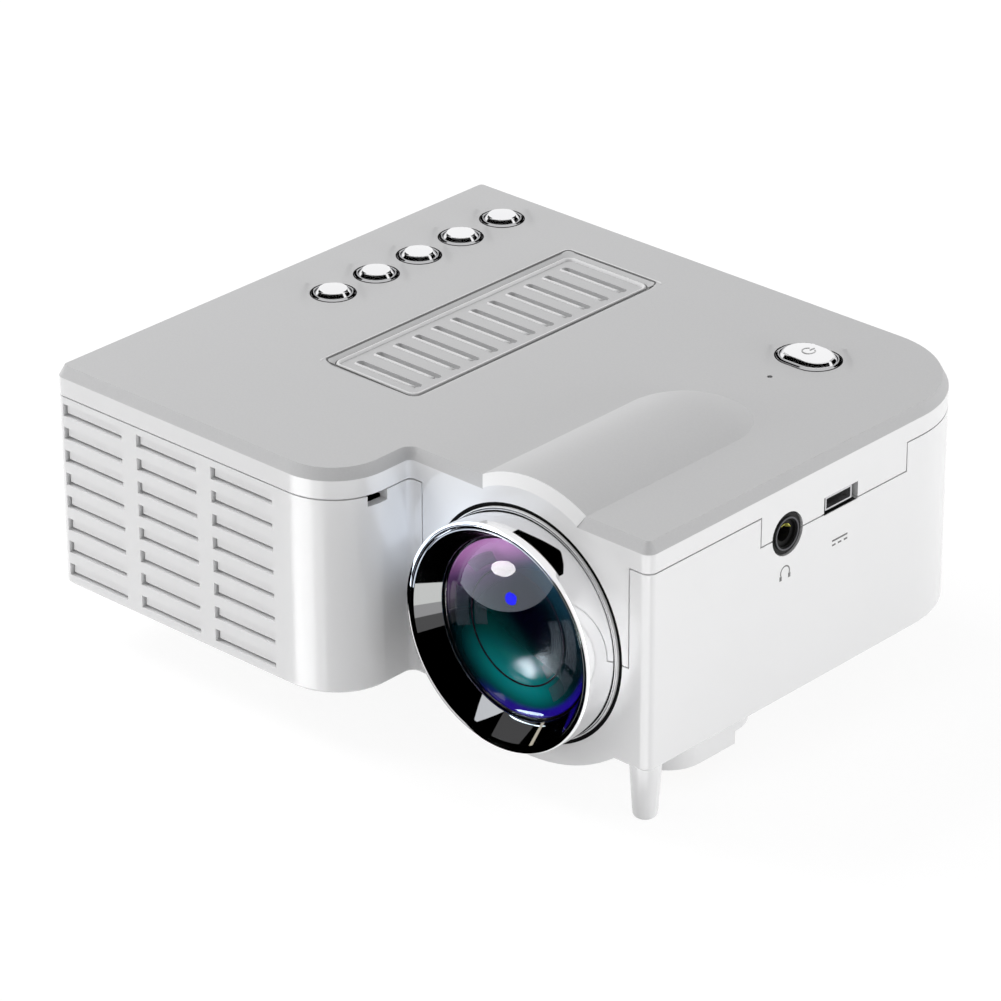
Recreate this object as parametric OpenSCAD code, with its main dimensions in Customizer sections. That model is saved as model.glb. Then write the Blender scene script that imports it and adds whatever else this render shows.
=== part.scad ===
// Palm-size LED projector with a folded light path.
// Working frame of every module: x from the left wall to the right wall, y from the grille face to the
// rear wall, z up from the underside of the case. place() moves it to the part's own frame: origin on
// the floor under the middle of the box, +X to the socket side, -Y out of the lens, +Z up.

/* [Case] */
// Width of the case, left wall to right wall
body_w = 132; // [110:1:165]
// Depth of the case, grille face to rear wall
body_d = 118; // [116:1:150]
// Height of the case without its legs
body_h = 46; // [44:0.5:60]
// Thickness of the side walls
wall = 1.8; // [1.4:0.1:2.4]
// Thickness of the roof
roof = 1.8; // [1.5:0.1:2.4]
// Thickness of the floor
floor_t = 1.8; // [1.4:0.1:2.4]
// Width of the grille block, which stands ahead of the lens face
step_x = 74; // [72:0.5:80]
// How far the lens face lies behind the grille face
step_d = 19.2; // [16:0.2:22]
// Plan radius of the tight corners
corner_small = 2; // [1.5:0.1:3]
// Plan radius of the grille block's inner front corner
corner_grille = 12; // [8:0.5:14]
// Plan radius of the rear right corner
corner_rear = 22; // [10:1:26]
// Fillet where the grille block meets the lens face
corner_inner = 1.3; // [0.8:0.1:2]
// Inward reach of the bevel round the roof
bevel_in = 1.2; // [0.8:0.1:1.6]
// Drop of the bevel round the roof
bevel_drop = 2.2; // [1.5:0.1:3]
// Size of the bevel round the floor
foot_bevel = 0.6; // [0.3:0.1:1]

/* [Parting line] */
// Drop of the parting line below the roof
part_drop = 6; // [5:0.1:7]
// Width of the open seam between cover and case
seam = 0.3; // [0.2:0.05:0.4]
// Drop of the side tongue's lower edge below the roof
side_tongue_drop = 11.9; // [9:0.1:13]
// Distance from the lens face to the side tongue
side_tongue_start = 30.5; // [29:0.5:32]
// Length of the side tongue
side_tongue_len = 41.8; // [38:0.2:46]
// Distance from the grille block to the face tongue
face_tongue_left = 3; // [2:0.1:3.4]
// Distance from the right wall to the face tongue
face_tongue_right = 4.7; // [3:0.1:5]
// Thickness of the lip that closes the seam from inside
lip_t = 1; // [0.8:0.1:1.2]
// Height of the lip above and below the parting line
lip_h = 1.6; // [1:0.1:2.5]

/* [Dome and belly] */
// Width of the dome on the roof
dome_w = 25; // [20:0.5:30]
// Rise of the dome above the roof
dome_rise = 3.3; // [2:0.1:4]
// Length of the dome from the lens face
dome_len = 55; // [40:1:62]
// Offset of the dome's axis from the lens axis
dome_shift = 1.1; // [-1:0.1:1.5]
// Width of the belly under the lens
belly_w = 42; // [38:0.5:44]
// Drop of the belly below the floor
belly_drop = 6.9; // [6:0.1:8]
// Length of the belly from the lens face
belly_len = 50; // [48:1:52]

/* [Legs and tripod pad] */
// Height of the legs below the case
leg_h = 11; // [9.5:0.5:16]
// Radius of a leg at the case
leg_r = 3; // [2.5:0.1:4]
// Radius of a leg above its rounded tip
leg_tip_r = 2.35; // [1.8:0.05:2.4]
// Rounding of a leg's tip
leg_round = 1.1; // [0.6:0.1:1.5]
// Distance from a side wall to a leg's axis
leg_inset = 3.2; // [3:0.1:6]
// Distance from the right wall to the rear right leg's axis
leg_rear_inset = 26; // [24:1:34]
// Distance from the rear wall to the rear legs' axes
leg_rear_y = 14; // [13:1:20]
// Distance from the right wall to the tripod pad
pad_side = 4; // [3:0.5:5]
// Width of the tripod pad
pad_w = 22; // [20:1:24]
// Distance from the lens face to the tripod pad
pad_start = 11.1; // [9:0.1:13]
// Length of the tripod pad
pad_len = 26.7; // [24:0.1:30]
// Length of the pad's thick front part
pad_step = 18; // [16:0.5:20]
// Drop of the pad's thick front part
pad_drop = 7.2; // [6:0.1:8]
// Drop of the pad's thin rear part
pad_ledge = 4.6; // [3:0.1:5.5]
// Plan radius of the pad's corners
pad_r = 8; // [5:0.5:9]
// Radius of the tripod thread
thread_r = 3.2; // [3:0.05:3.4]
// Length of the tripod thread insert
thread_len = 8; // [6:0.5:8]
// Outer radius of the tripod thread insert
insert_r = 4.2; // [3.9:0.1:4.4]

/* [Front grille] */
// Number of slot columns
grille_cols = 3; // [2:1:3]
// Number of slot rows
grille_rows = 8; // [5:1:8]
// Length of a slot
grille_slot_w = 15.9; // [12:0.1:16.2]
// Height of a slot
grille_slot_h = 2.55; // [2:0.05:3]
// Pitch of the columns
grille_pitch_x = 19.8; // [18:0.1:20]
// Pitch of the rows
grille_pitch_z = 4.83; // [4.4:0.01:5]
// Distance from the left wall to the first slot
grille_left = 2; // [1.8:0.1:4]
// Height of the lowest slot above the underside
grille_low = 2.1; // [1.9:0.1:4]
// Depth of a slot's recess
grille_recess = 0.7; // [0.4:0.1:1]
// Width of the open slit along a slot's lower and left edge
grille_slit = 0.5; // [0.3:0.05:0.8]

/* [Roof vent] */
// Distance from the left wall to the vent panel
panel_left = 36; // [30:0.5:40]
// Distance from the grille face to the vent panel
panel_front = 34.6; // [30:0.5:40]
// Width of the vent panel
panel_w = 24.7; // [20:0.1:28]
// Length of the vent panel
panel_len = 69.8; // [60:0.5:76]
// Depth of the vent panel's recess
panel_depth = 0.8; // [0.5:0.1:1]
// Width of the panel's sloping rim
panel_rim = 2; // [1:0.1:2.4]
// Plan radius of the panel's corners
panel_r = 3; // [2.6:0.1:4]
// Number of vent slots
vent_count = 12; // [6:1:12]
// Pitch of the vent slots
vent_pitch = 5.25; // [4:0.05:5.6]
// Length of a vent slot
vent_len = 16.4; // [12:0.1:18]
// Width of a vent slot
vent_w = 1.6; // [1:0.1:2]

/* [Keys] */
// Number of round keys
key_count = 5; // [3:1:5]
// Distance from the left wall to the row of keys
key_left = 16.2; // [15:0.1:18]
// Distance from the grille face to the first key
key_front = 58.5; // [56:0.5:60]
// Pitch of the keys
key_pitch = 12.05; // [11:0.05:12.2]
// Radius of a key cap
key_r = 3.6; // [3:0.05:4]
// Width of the chrome surround round a key
surround_w = 0.6; // [0.4:0.05:0.8]
// Height of a surround above the roof
surround_rise = 0.35; // [0.2:0.05:0.6]
// Height of a key's rim above the roof
key_rise = 0.7; // [0.6:0.05:1.2]
// Height of the dome on a key
key_dome = 0.75; // [0.4:0.05:1]
// Travel of a key
key_travel = 0.4; // [0.2:0.05:0.5]
// Distance from the lens axis to the power key, to the right
power_right = 0.6; // [-4:0.1:4]
// Distance from the rear wall to the power key
power_rear = 20.3; // [18:0.1:24]
// Length of the power key cap
power_len = 11.8; // [10:0.1:13]
// Width of the power key cap
power_w = 8.4; // [7:0.1:9]
// Radius of the pilot light's hole
pilot_r = 0.55; // [0.4:0.05:0.8]
// Distance from the power key to the pilot light
pilot_ahead = 11.3; // [9:0.1:12]
// Sliding clearance round a key
key_gap = 0.08; // [0.05:0.01:0.1]

/* [Lens] */
// Distance from the right wall's inner face to the lens axis
lens_inset = 27.8; // [27:0.1:30]
// Height of the lens axis above the underside
lens_z = 20; // [19.8:0.1:24]
// Outer radius of the focus ring
ring_r = 22.3; // [22:0.1:22.4]
// Gap between the focus ring and the case
ring_gap = 1.1; // [0.8:0.1:1.2]
// Reach of the focus ring ahead of the lens face
ring_reach = 7.9; // [6:0.1:9]
// Depth of the focus ring behind the lens face
ring_tail = 2; // [1.5:0.1:2.2]
// Wall of the focus ring
ring_wall = 0.95; // [0.8:0.05:1.1]
// Depth of the glass edge behind the ring's rim
glass_depth = 5; // [4.6:0.1:5.4]
// How far the front lens's visible edge lies inside the ring's outer face
glass_inset = 4.4; // [4:0.1:5]
// Radius of the front lens surface
glass_curve = 37; // [36:1:60]
// How far the lens barrel's face lies inside the ring's bore
barrel_inset = 1.75; // [1.6:0.05:2.5]
// Wall of the lens barrel
barrel_wall = 2.8; // [2.2:0.1:3.5]
// Length of the lens barrel
barrel_len = 27.6; // [27:0.2:28]
// Focus travel each way from rest
focus_travel = 3; // [1:0.5:3]
// Running clearance of the barrel and the ring
run_gap = 0.05; // [0.03:0.01:0.08]

/* [Sockets on the right wall] */
// Distance from the lens face to the headphone jack
jack_back = 38; // [37:0.5:40]
// Radius of the jack's hole in the case
jack_hole_r = 4.3; // [4:0.1:4.6]
// Radius of the jack's plug bore
jack_bore_r = 1.8; // [1.75:0.01:1.9]
// Distance from the jack to the power inlet
inlet_back = 15.15; // [14:0.05:17]
// Width of the power inlet's notch
notch_w = 9.7; // [8.5:0.1:10.5]
// Height of the power inlet's notch
notch_h = 3.3; // [3:0.1:3.6]

/* [Optics] */
// Gap between the light box and the rear wall
rear_gap = 4.9; // [4.8:0.1:6]
// Inner width of the light box
tunnel_w = 36.8; // [34:0.2:37]
// Wall of the light box
tunnel_wall = 1.4; // [1.2:0.1:1.6]
// Height of the light box without its lid
tunnel_h = 34.6; // [33:0.2:35]
// Radius of the condenser lens
condenser_r = 12; // [10:0.5:13]
// Size of the square fan
fan_size = 35; // [30:1:35]
// Depth of the fan
fan_depth = 10; // [8:0.5:10]
// Blades on the fan rotor
fan_blades = 7; // [5:1:9]
// Fins on the heat sink
fin_count = 10; // [6:1:12]

/* [Boards] */
// Height of the main board above the floor
board_lift = 6.2; // [5:0.2:8]
// Thickness of the main board
board_t = 1.6; // [1:0.1:1.6]
// Length of the main board along x
board_w = 67; // [64:1:67]
// Radius of a small screw's shank
screw_r = 1; // [0.9:0.05:1.1]

/* [Hidden] */
$fn = 96;
eps = 0.01;
big = 200;
part_z = body_h - part_drop;
ceiling_z = body_h - roof;
lens_x = body_w - wall - lens_inset;
hole_r = ring_r + ring_gap;
rim_y = step_d - ring_reach;
path_y = body_d - wall - rear_gap - tunnel_wall - tunnel_w / 2;
tongue_z = body_h - side_tongue_drop;
jack_y = step_d + jack_back;
inlet_y = jack_y + inlet_back;

// Dome and belly are arcs of these radii about axes along y.
dome_r = (dome_w * dome_w / 4 + dome_rise * dome_rise) / (2 * dome_rise);
dome_x = lens_x + dome_shift;
dome_axis_z = body_h + dome_rise - dome_r;
belly_r = (belly_w * belly_w / 4 + belly_drop * belly_drop) / (2 * belly_drop);
belly_axis_z = belly_r - belly_drop;

// Case screws: boss below, pillar above, meeting at split_z.
split_z = 30;
boss_r = 3.3;
pillar_r = 2.7;
boss_edge = wall + lip_t + 0.1 + pillar_r;
boss_at = [
    [boss_edge + 2.4, boss_edge + 2.4],
    [step_x - 13, boss_edge + 1.4],
    [body_w - boss_edge, step_d + 26.8],
    [body_w - 14, body_d - 10],
    [boss_edge + 2.4, body_d - boss_edge]
];
case_screw_r = 1.25;
case_head_r = 2.4;
case_head_h = 1.6;
sink_r = 2.7;
sink_z = 4;
case_screw_top = 38;
small_head_r = 1.9;
small_head_h = 1.3;

// Legs in plan: front left, front right, rear right, rear left.
leg_front_y = step_d + leg_inset;
leg_at = [
    [leg_inset + 3, leg_front_y],
    [body_w - leg_inset, leg_front_y],
    [body_w - leg_rear_inset, body_d - leg_rear_y],
    [leg_inset + 3, body_d - leg_rear_y]
];

// Tripod pad and insert.
pad_x1 = body_w - pad_side;
pad_x0 = pad_x1 - pad_w;
pad_y0 = step_d + pad_start;
pad_y1 = pad_y0 + pad_len;
insert_x = pad_x1 - 8;
insert_y = pad_y0 + pad_step / 2 + 1.5;
insert_boss_r = insert_r + 1.3;

// Focus ring, hood, barrel and lenses, as distances behind the ring's rim.
ring_len = ring_reach + ring_tail;
ring_in_r = ring_r - ring_wall;
glass_r = ring_r - glass_inset;
barrel_r = ring_in_r - barrel_inset;
web_t0 = glass_depth + 0.6;
web_t1 = web_t0 + 2.7;
hood_back = web_t0 - 0.25;
hood_front = 0.35;
hood_r = ring_in_r - 0.3;
flange_r = ring_in_r - 0.75;
flange_t = 1;
lens_edge = 2.75;
front_lens_r = glass_r + 0.4;
stack_t0 = hood_back + 10.6;
stack_r = barrel_r - barrel_wall;
mid_edge = 3.4;
spacer_len = 7;
rear_edge = 3;
retainer_len = 2;
pocket_gap = 0.05;
tube_y0 = step_d + ring_tail + focus_travel + 1.4;
tube_y1 = tube_y0 + 25.4;
tube_r = barrel_r + run_gap + 1.45;
pin_r = 1.2;
pin_t = hood_back + 18;
pin_rise = 1.2;
cradle_at = [tube_y0 + 3.4, tube_y0 + 20];
cradle_t = 2;
cradle_half = 17;
cradle_top = 8;

// Light box along x at path_y, mirror at its right end.
box_x0 = 33;
box_x1 = lens_x + tunnel_w / 2 + tunnel_wall;
box_y0 = path_y - tunnel_w / 2 - tunnel_wall;
box_y1 = path_y + tunnel_w / 2 + tunnel_wall;
box_z0 = floor_t;
box_z1 = box_z0 + tunnel_h;
lid_t = 1.4;
led_window = 20.6;
plate_t = 2;
cup_x = 38;
cup_t = 3.4;
plate_z0 = box_z0 + tunnel_wall;
plate_z1 = box_z1 - 0.2;
throat_out = lens_z - box_z0 - tunnel_wall - 0.6;
throat_r = throat_out - 1.3;
field_at = [66, 78];
field_t = 1.5;
panel_x = 72;
panel_t = 2.2;
mirror_t = 1.5;
mirror_half = tunnel_w / 2 - 1;
chamfer_in = mirror_t * sqrt(2);
chamfer_out = (mirror_t + tunnel_wall) * sqrt(2);
led_hole_x = box_x0 + 3.5;
ear_lift = 3;
ear_r = 2.4;
ear_t = 1.6;
ear_at = [
    [box_x0 + 7, box_y1 + 2.3],
    [lens_x - 21, box_y1 + 2.3],
    [lens_x - 19.4, box_y0 - 2.6],
    [lens_x + 18, box_y0 - 2.6]
];

// Fan and heat sink.
fan_x0 = wall;
fan_z = floor_t + 0.3 + fan_size / 2;
fan_bore = fan_size / 2 - 1.1;
fan_tip = fan_bore - 0.5;
fan_hub = 8;
stator_t = 1.2;
stator_r = 6.5;
shaft_r = 1;
sink_x0 = fan_x0 + fan_depth + 1.7;
sink_base = 3.5;
fin_t = 1.2;
sink_half = fan_size / 2 - 0.5;

// Boards.
board_z = floor_t + board_lift;
board_top = board_z + board_t;
board_x0 = wall + 1.2;
board_y0 = 15;
board_y1 = box_y0 - 0.8;
board_inset = 3.6;
port_board_z = tongue_z - 1.1;
port_board_t = 1.2;
port_x1 = body_w - wall - lip_t - 0.2;
port_x0 = box_x1 + 0.4;
port_arm_x0 = lens_x + 13.6;
port_arm_y0 = tube_y1 + 1.6;
port_y1 = body_d - 24;
port_post_at = [[port_x1 - 3, inlet_y - 7], [port_x1 - 3, port_y1 - 3]];
switch_h = 1.8;
plunger_h = 0.5;
keyboard_t = 1;
keyboard_z = part_z - lip_h - keyboard_t - 0.15;
keyboard_half = 4.6;
key_stop = 1;
stem_r = 1.6;
key_end = key_front + (key_count - 1) * key_pitch;
power_x = lens_x + power_right;
power_y = body_d - power_rear;
power_board_z = box_z1 + lid_t + 0.9;
pilot_y = power_y - pilot_ahead;

// Left wall sockets: [first y, width, height, depth].
card_at = [board_y0 + 1.2, 14, 1.9, 15];
video_at = [board_y0 + 17.2, 15, 5.5, 12];
usb_at = [board_y0 + 34.4, 13.1, 5.7, 14];
av_at = [board_y0 + 49.2, 6, 5, 12];
socket_gap = 0.3;

// Helpers --------------------------------------------------------------------------------------------

module place() {
    translate([-body_w / 2, -body_d / 2, leg_h]) children();
}

module box(lo, hi) {
    translate(lo) cube([hi[0] - lo[0], hi[1] - lo[1], hi[2] - lo[2]]);
}

module rod_y(r, x, z, y0, y1) {
    translate([x, y0, z]) rotate([-90, 0, 0]) cylinder(r = r, h = y1 - y0);
}

module rod_x(r, y, z, x0, x1) {
    translate([x0, y, z]) rotate([0, 90, 0]) cylinder(r = r, h = x1 - x0);
}

module rod_z(r, x, y, z0, z1) {
    translate([x, y, z0]) cylinder(r = r, h = z1 - z0);
}

// Lens parts are turned about the lens axis, with z running back from the ring's rim.
module on_lens_axis() {
    translate([lens_x, rim_y, lens_z]) rotate([-90, 0, 0]) children();
}

// What rounding a corner at radius r takes away; sx and sy point into the square.
module corner_waste(x, y, r, sx, sy) {
    translate([x, y]) mirror([sx < 0 ? 1 : 0, 0]) mirror([0, sy < 0 ? 1 : 0]) inner_fillet(r);
}

// Outline of the case in plan, drawn in by i.
module plan(i = 0) {
    difference() {
        union() {
            translate([i, i]) square([step_x - 2 * i, body_d - 2 * i]);
            translate([i, step_d + i]) square([body_w - 2 * i, body_d - step_d - 2 * i]);
            translate([step_x - i, step_d + i]) mirror([0, 1]) inner_fillet(corner_inner + i);
        }
        corner_waste(i, i, max(corner_small - i, 0.3), 1, 1);
        corner_waste(step_x - i, i, corner_grille - i, -1, 1);
        corner_waste(body_w - i, step_d + i, max(corner_small - i, 0.3), -1, 1);
        corner_waste(body_w - i, body_d - i, corner_rear - i, -1, -1);
        corner_waste(i, body_d - i, max(corner_small - i, 0.3), 1, -1);
    }
}

module inner_fillet(r) {
    difference() {
        translate([-eps, -eps]) square(r + eps);
        translate([r, r]) circle(r = r);
    }
}

// A closed wall-thick ring of the outline between z0 and z1.
module plan_ring(i0, i1, z0, z1) {
    translate([0, 0, z0]) linear_extrude(z1 - z0) difference() {
        plan(i0);
        plan(i1);
    }
}

// Cross-section of the waste along a bevelled edge; the edge is at x = 0, the waste at negative x.
function bevel_waste(b, h) = [[-b, 0], [-b, 1], [1, 1], [1, -h], [0, -h]];

module bevel_run(x, y, turn, len, b, h) {
    translate([x, y, 0]) rotate([0, 0, turn]) rotate([90, 0, 0]) linear_extrude(len)
        polygon(bevel_waste(b, h));
}

module bevel_turn(x, y, r, from, b, h) {
    translate([x, y, 0]) rotate([0, 0, from]) rotate_extrude(angle = 90) translate([r, 0])
        polygon(bevel_waste(min(b, r - eps), h));
}

// All that a bevel takes off the outline's upper edge at z = 0.
module bevel_waste_all(b, h) {
    s = corner_small;
    g = corner_grille;
    q = corner_rear;
    f = corner_inner;
    bevel_run(step_x - g, 0, -90, step_x - s - g, b, h);
    bevel_turn(step_x - g, g, g, -90, b, h);
    bevel_run(step_x, step_d - f, 0, step_d - f - g, b, h);
    bevel_run(body_w - s, step_d, -90, body_w - s - step_x - f, b, h);
    bevel_turn(body_w - s, step_d + s, s, -90, b, h);
    bevel_run(body_w, body_d - q, 0, body_d - q - step_d - s, b, h);
    bevel_turn(body_w - q, body_d - q, q, 0, b, h);
    bevel_run(s, body_d, 90, body_w - q - s, b, h);
    bevel_turn(s, body_d - s, s, 90, b, h);
    bevel_run(0, s, 180, body_d - 2 * s, b, h);
    bevel_turn(s, s, s, 180, b, h);
    translate([step_x + f, step_d - f, 0]) rotate([0, 0, 90]) rotate_extrude(angle = 90)
        polygon([[0, 1], [f + b, 1], [f + b, 0], [f, -h], [0, -h]]);
}

// Ball-ended bar: a cylinder along y with a ball at its rear end.
module ball_bar(r, x, z, y0, y1) {
    rod_y(r, x, z, y0, y1);
    translate([x, y1, z]) sphere(r = r);
}

// Round-ended slot along x.
module slot_z(x0, y, len, w, z0, z1) {
    box([x0 + w / 2, y - w / 2, z0], [x0 + len - w / 2, y + w / 2, z1]);
    rod_z(w / 2, x0 + w / 2, y, z0, z1);
    rod_z(w / 2, x0 + len - w / 2, y, z0, z1);
}

// Rounded rectangle between z0 and z1, of straight boxes and round corners.
module rounded_box(x0, y0, x1, y1, r, z0, z1) {
    translate([0, 0, z0]) linear_extrude(z1 - z0) difference() {
        translate([x0, y0]) square([x1 - x0, y1 - y0]);
        corner_waste(x0, y0, r, 1, 1);
        corner_waste(x1, y0, r, -1, 1);
        corner_waste(x1, y1, r, -1, -1);
        corner_waste(x0, y1, r, 1, -1);
    }
}

// A lead: round wire along straight stretches, with a ball at each turn.
module lead(points, r) {
    for (i = [0 : len(points) - 2]) {
        v = points[i + 1] - points[i];
        translate(points[i]) rotate([0, acos(v[2] / norm(v)), atan2(v[1], v[0])])
            cylinder(r = r, h = norm(v));
    }
    for (i = [1 : len(points) - 2]) translate(points[i]) sphere(r = r);
}

// Pan-head screw whose shank points down from its seat.
module small_screw(x, y, seat, len) {
    rod_z(small_head_r, x, y, seat, seat + small_head_h);
    rod_z(screw_r, x, y, seat - len, seat + eps);
}

// Casing ---------------------------------------------------------------------------------------------

// Everything above the parting line, with its tongues, let down and out by g.
module cover_zone(g) {
    box([-big, -big, part_z - g], [big, big, big]);
    box([body_w - wall - eps, step_d + side_tongue_start - g, tongue_z - g],
        [big, step_d + side_tongue_start + side_tongue_len + g, part_z + 1]);
    box([step_x + face_tongue_left - g, step_d - 1, lens_z - g],
        [body_w - face_tongue_right + g, step_d + wall + eps, part_z + 1]);
}

module dome_solid(r) {
    intersection() {
        difference() {
            ball_bar(r, dome_x, dome_axis_z, step_d, step_d + dome_len - dome_w / 2);
            translate([dome_x, step_d, dome_axis_z]) rotate([90, 0, 0]) rotate_extrude()
                polygon([[r - bevel_drop, 0], [r - bevel_drop, 1], [r + 1, 1], [r + 1, -bevel_in],
                         [r, -bevel_in]]);
        }
        // The dome's sides run down to the roof's bevel along two radial planes.
        translate([dome_x, body_d, dome_axis_z]) rotate([90, 0, 0]) linear_extrude(body_d)
            polygon([[0, 0], [-dome_w, dome_w * (dome_r - dome_rise) / (dome_w / 2)],
                     [dome_w, dome_w * (dome_r - dome_rise) / (dome_w / 2)]]);
        box([0, 0, body_h - bevel_drop], [body_w, body_d, big]);
    }
}

module belly_solid(r, y0, top) {
    intersection() {
        ball_bar(r, lens_x, belly_axis_z, y0, step_d + belly_len - belly_w / 2);
        box([0, 0, -big], [body_w, body_d, top]);
    }
}

module tripod_pad() {
    rounded_box(pad_x0, pad_y0, pad_x1, pad_y1, pad_r, -pad_ledge, eps);
    intersection() {
        rounded_box(pad_x0, pad_y0, pad_x1, pad_y1, pad_r, -pad_drop, eps);
        box([pad_x0 - 1, pad_y0 - 1, -big], [pad_x1 + 1, pad_y0 + pad_step, big]);
    }
}

module outer_form() {
    difference() {
        linear_extrude(body_h) plan();
        translate([0, 0, body_h]) bevel_waste_all(bevel_in, bevel_drop);
        mirror([0, 0, 1]) bevel_waste_all(foot_bevel, foot_bevel);
    }
}

module key_well(x, y) {
    rod_z(key_r + surround_w + pocket_gap, x, y, body_h - roof / 2, body_h + 1);
    rod_z(key_r + key_gap, x, y, ceiling_z - 1, body_h + 1);
}

module oblong(x, y, len, w, z0, z1) {
    box([x - (len - w) / 2, y - w / 2, z0], [x + (len - w) / 2, y + w / 2, z1]);
    rod_z(w / 2, x - (len - w) / 2, y, z0, z1);
    rod_z(w / 2, x + (len - w) / 2, y, z0, z1);
}

module side_socket_holes() {
    rod_x(jack_hole_r, jack_y, tongue_z, port_x1 - 1, body_w + 1);
    box([port_x1 - 1, inlet_y - notch_w / 2, tongue_z - seam], [body_w + 1, inlet_y + notch_w / 2,
        tongue_z + notch_h]);
}

module lens_hole() {
    rod_y(hole_r, lens_x, lens_z, step_d - 1, step_d + wall + lip_t + 1);
}

module receiver_notch() {
    box([step_x - corner_grille / 2, corner_grille - 3.4, part_z - 2.2],
        [step_x + 1, corner_grille + 1.2, part_z - seam / 2 + eps]);
}

module top_cover() {
    color([0.77, 0.77, 0.77]) place() {
        difference() {
            intersection() {
                union() {
                    outer_form();
                    dome_solid(dome_r);
                }
                cover_zone(-seam / 2);
            }
            translate([0, 0, -1]) linear_extrude(ceiling_z + 1) plan(wall);
            intersection() {
                ball_bar(dome_r - roof, dome_x, dome_axis_z, step_d + wall,
                         step_d + dome_len - dome_w / 2);
                box([0, 0, body_h - bevel_drop - roof], [body_w, body_d, big]);
            }
            lens_hole();
            side_socket_holes();
            for (k = [0 : key_count - 1]) key_well(key_left, key_front + k * key_pitch);
            oblong(power_x, power_y, power_len + 2 * surround_w + 2 * pocket_gap,
                   power_w + 2 * surround_w + 2 * pocket_gap, body_h - roof / 2, body_h + 1);
            oblong(power_x, power_y, power_len + 2 * key_gap, power_w + 2 * key_gap, ceiling_z - 1,
                   body_h + 1);
            rod_z(pilot_r, power_x, pilot_y, ceiling_z - 1, body_h + 1);
            vent_panel();
        }
        difference() {
            union() {
                for (p = boss_at) rod_z(pillar_r, p[0], p[1], split_z, ceiling_z + eps);
                for (p = key_post_at()) rod_z(1.8, p[0], p[1], keyboard_z + keyboard_t, ceiling_z + eps);
                for (p = power_post_at()) rod_z(1.8, p[0], p[1], power_board_z + keyboard_t,
                                                ceiling_z + eps);
            }
            for (p = boss_at) rod_z(case_screw_r, p[0], p[1], split_z - 1, case_screw_top + 1);
            for (p = key_post_at()) rod_z(screw_r, p[0], p[1], keyboard_z, ceiling_z - 1);
            for (p = power_post_at()) rod_z(screw_r, p[0], p[1], power_board_z, ceiling_z - 0.5);
        }
    }
}

function key_post_at() = [[key_left, key_front - 6.6], [key_left, key_end + 6.6]];
function power_post_at() = [[power_x - 7.6, power_y - 7], [power_x + 7.6, power_y - 7]];

module vent_panel() {
    x0 = panel_left + panel_r;
    x1 = panel_left + panel_w - panel_r;
    y0 = panel_front + panel_r;
    y1 = panel_front + panel_len - panel_r;
    for (x = [x0, x1]) for (y = [y0, y1]) translate([x, y, body_h - panel_depth])
        cylinder(r1 = panel_r - panel_rim, r2 = panel_r, h = panel_depth);
    translate([0, y1, body_h - panel_depth]) rotate([90, 0, 0]) linear_extrude(y1 - y0)
        polygon([[x0 - panel_r + panel_rim, 0], [x1 + panel_r - panel_rim, 0],
                 [x1 + panel_r, panel_depth], [x0 - panel_r, panel_depth]]);
    translate([x0, 0, body_h - panel_depth]) rotate([90, 0, 90]) linear_extrude(x1 - x0)
        polygon([[y0 - panel_r + panel_rim, 0], [y1 + panel_r - panel_rim, 0],
                 [y1 + panel_r, panel_depth], [y0 - panel_r, panel_depth]]);
    first = panel_front + (panel_len - (vent_count - 1) * vent_pitch) / 2;
    for (k = [0 : vent_count - 1]) slot_z(panel_left + (panel_w - vent_len) / 2,
        first + k * vent_pitch, vent_len, vent_w, ceiling_z - 1, body_h + 1);
}

// One grille slot: a shallow recess with an open slit along its lower and left edge.
module grille_slot(x, z) {
    box([x, -1, z], [x + grille_slot_w, grille_recess, z + grille_slot_h]);
    box([x, -1, z], [x + grille_slot_w, wall + 1, z + grille_slit]);
    box([x, -1, z], [x + grille_slit, wall + 1, z + grille_slot_h]);
}

module socket_hole(s) {
    box([-1, s[0] - socket_gap, board_top - socket_gap],
        [wall + lip_t, s[0] + s[1] + socket_gap, board_top + s[2] + socket_gap]);
}

// Louvres in the left wall in front of the fan.
module fan_louvres() {
    louvre_count = 7;
    louvre_pitch = 4.3;
    louvre_h = 2;
    louvre_len = 27;
    for (k = [0 : louvre_count - 1]) {
        z = fan_z + (k - (louvre_count - 1) / 2) * louvre_pitch;
        box([-1, path_y - louvre_len / 2, z - louvre_h / 2],
            [wall + 1, path_y + louvre_len / 2, z + louvre_h / 2]);
    }
}

module floor_vents() {
    for (k = [0 : 6]) slot_z(step_x / 2 - 14, step_d + 16 + k * 5, 28, 2, -1, floor_t + 1);
}

module case_insides() {
    for (p = boss_at) rod_z(boss_r, p[0], p[1], 0, sink_z + 1.6);
    for (p = boss_at) rod_z(pillar_r, p[0], p[1], 0, split_z);
    plan_ring(wall - 0.2, wall + lip_t, part_z - lip_h, part_z - seam);
    for (p = main_post_at()) rod_z(2.5, p[0], p[1], 0, board_z);
    for (p = ear_at) rod_z(ear_r, p[0], p[1], 0, box_z0 + ear_lift);
    for (p = port_post_at) rod_z(2.2, p[0], p[1], 0, port_board_z);
    rod_z(insert_boss_r, insert_x, insert_y, -pad_drop, 2.2);
    for (y = cradle_at) difference() {
        box([lens_x - cradle_half, y, -belly_drop], [lens_x + cradle_half, y + cradle_t, cradle_top]);
        rod_y(tube_r, lens_x, lens_z, y - 1, y + cradle_t + 1);
    }
    for (x = [speaker_x - speaker_half - 1.7, speaker_x + speaker_half - 1.3])
        box([x, speaker_y + 1.2, 0], [x + 3, speaker_y + 3.2, split_z]);
}

function main_post_at() = [
    for (x = [board_x0 + board_inset + 12, board_x0 + board_w - board_inset])
        for (y = [board_y0 + board_inset, board_y1 - board_inset]) [x, y]
];

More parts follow.
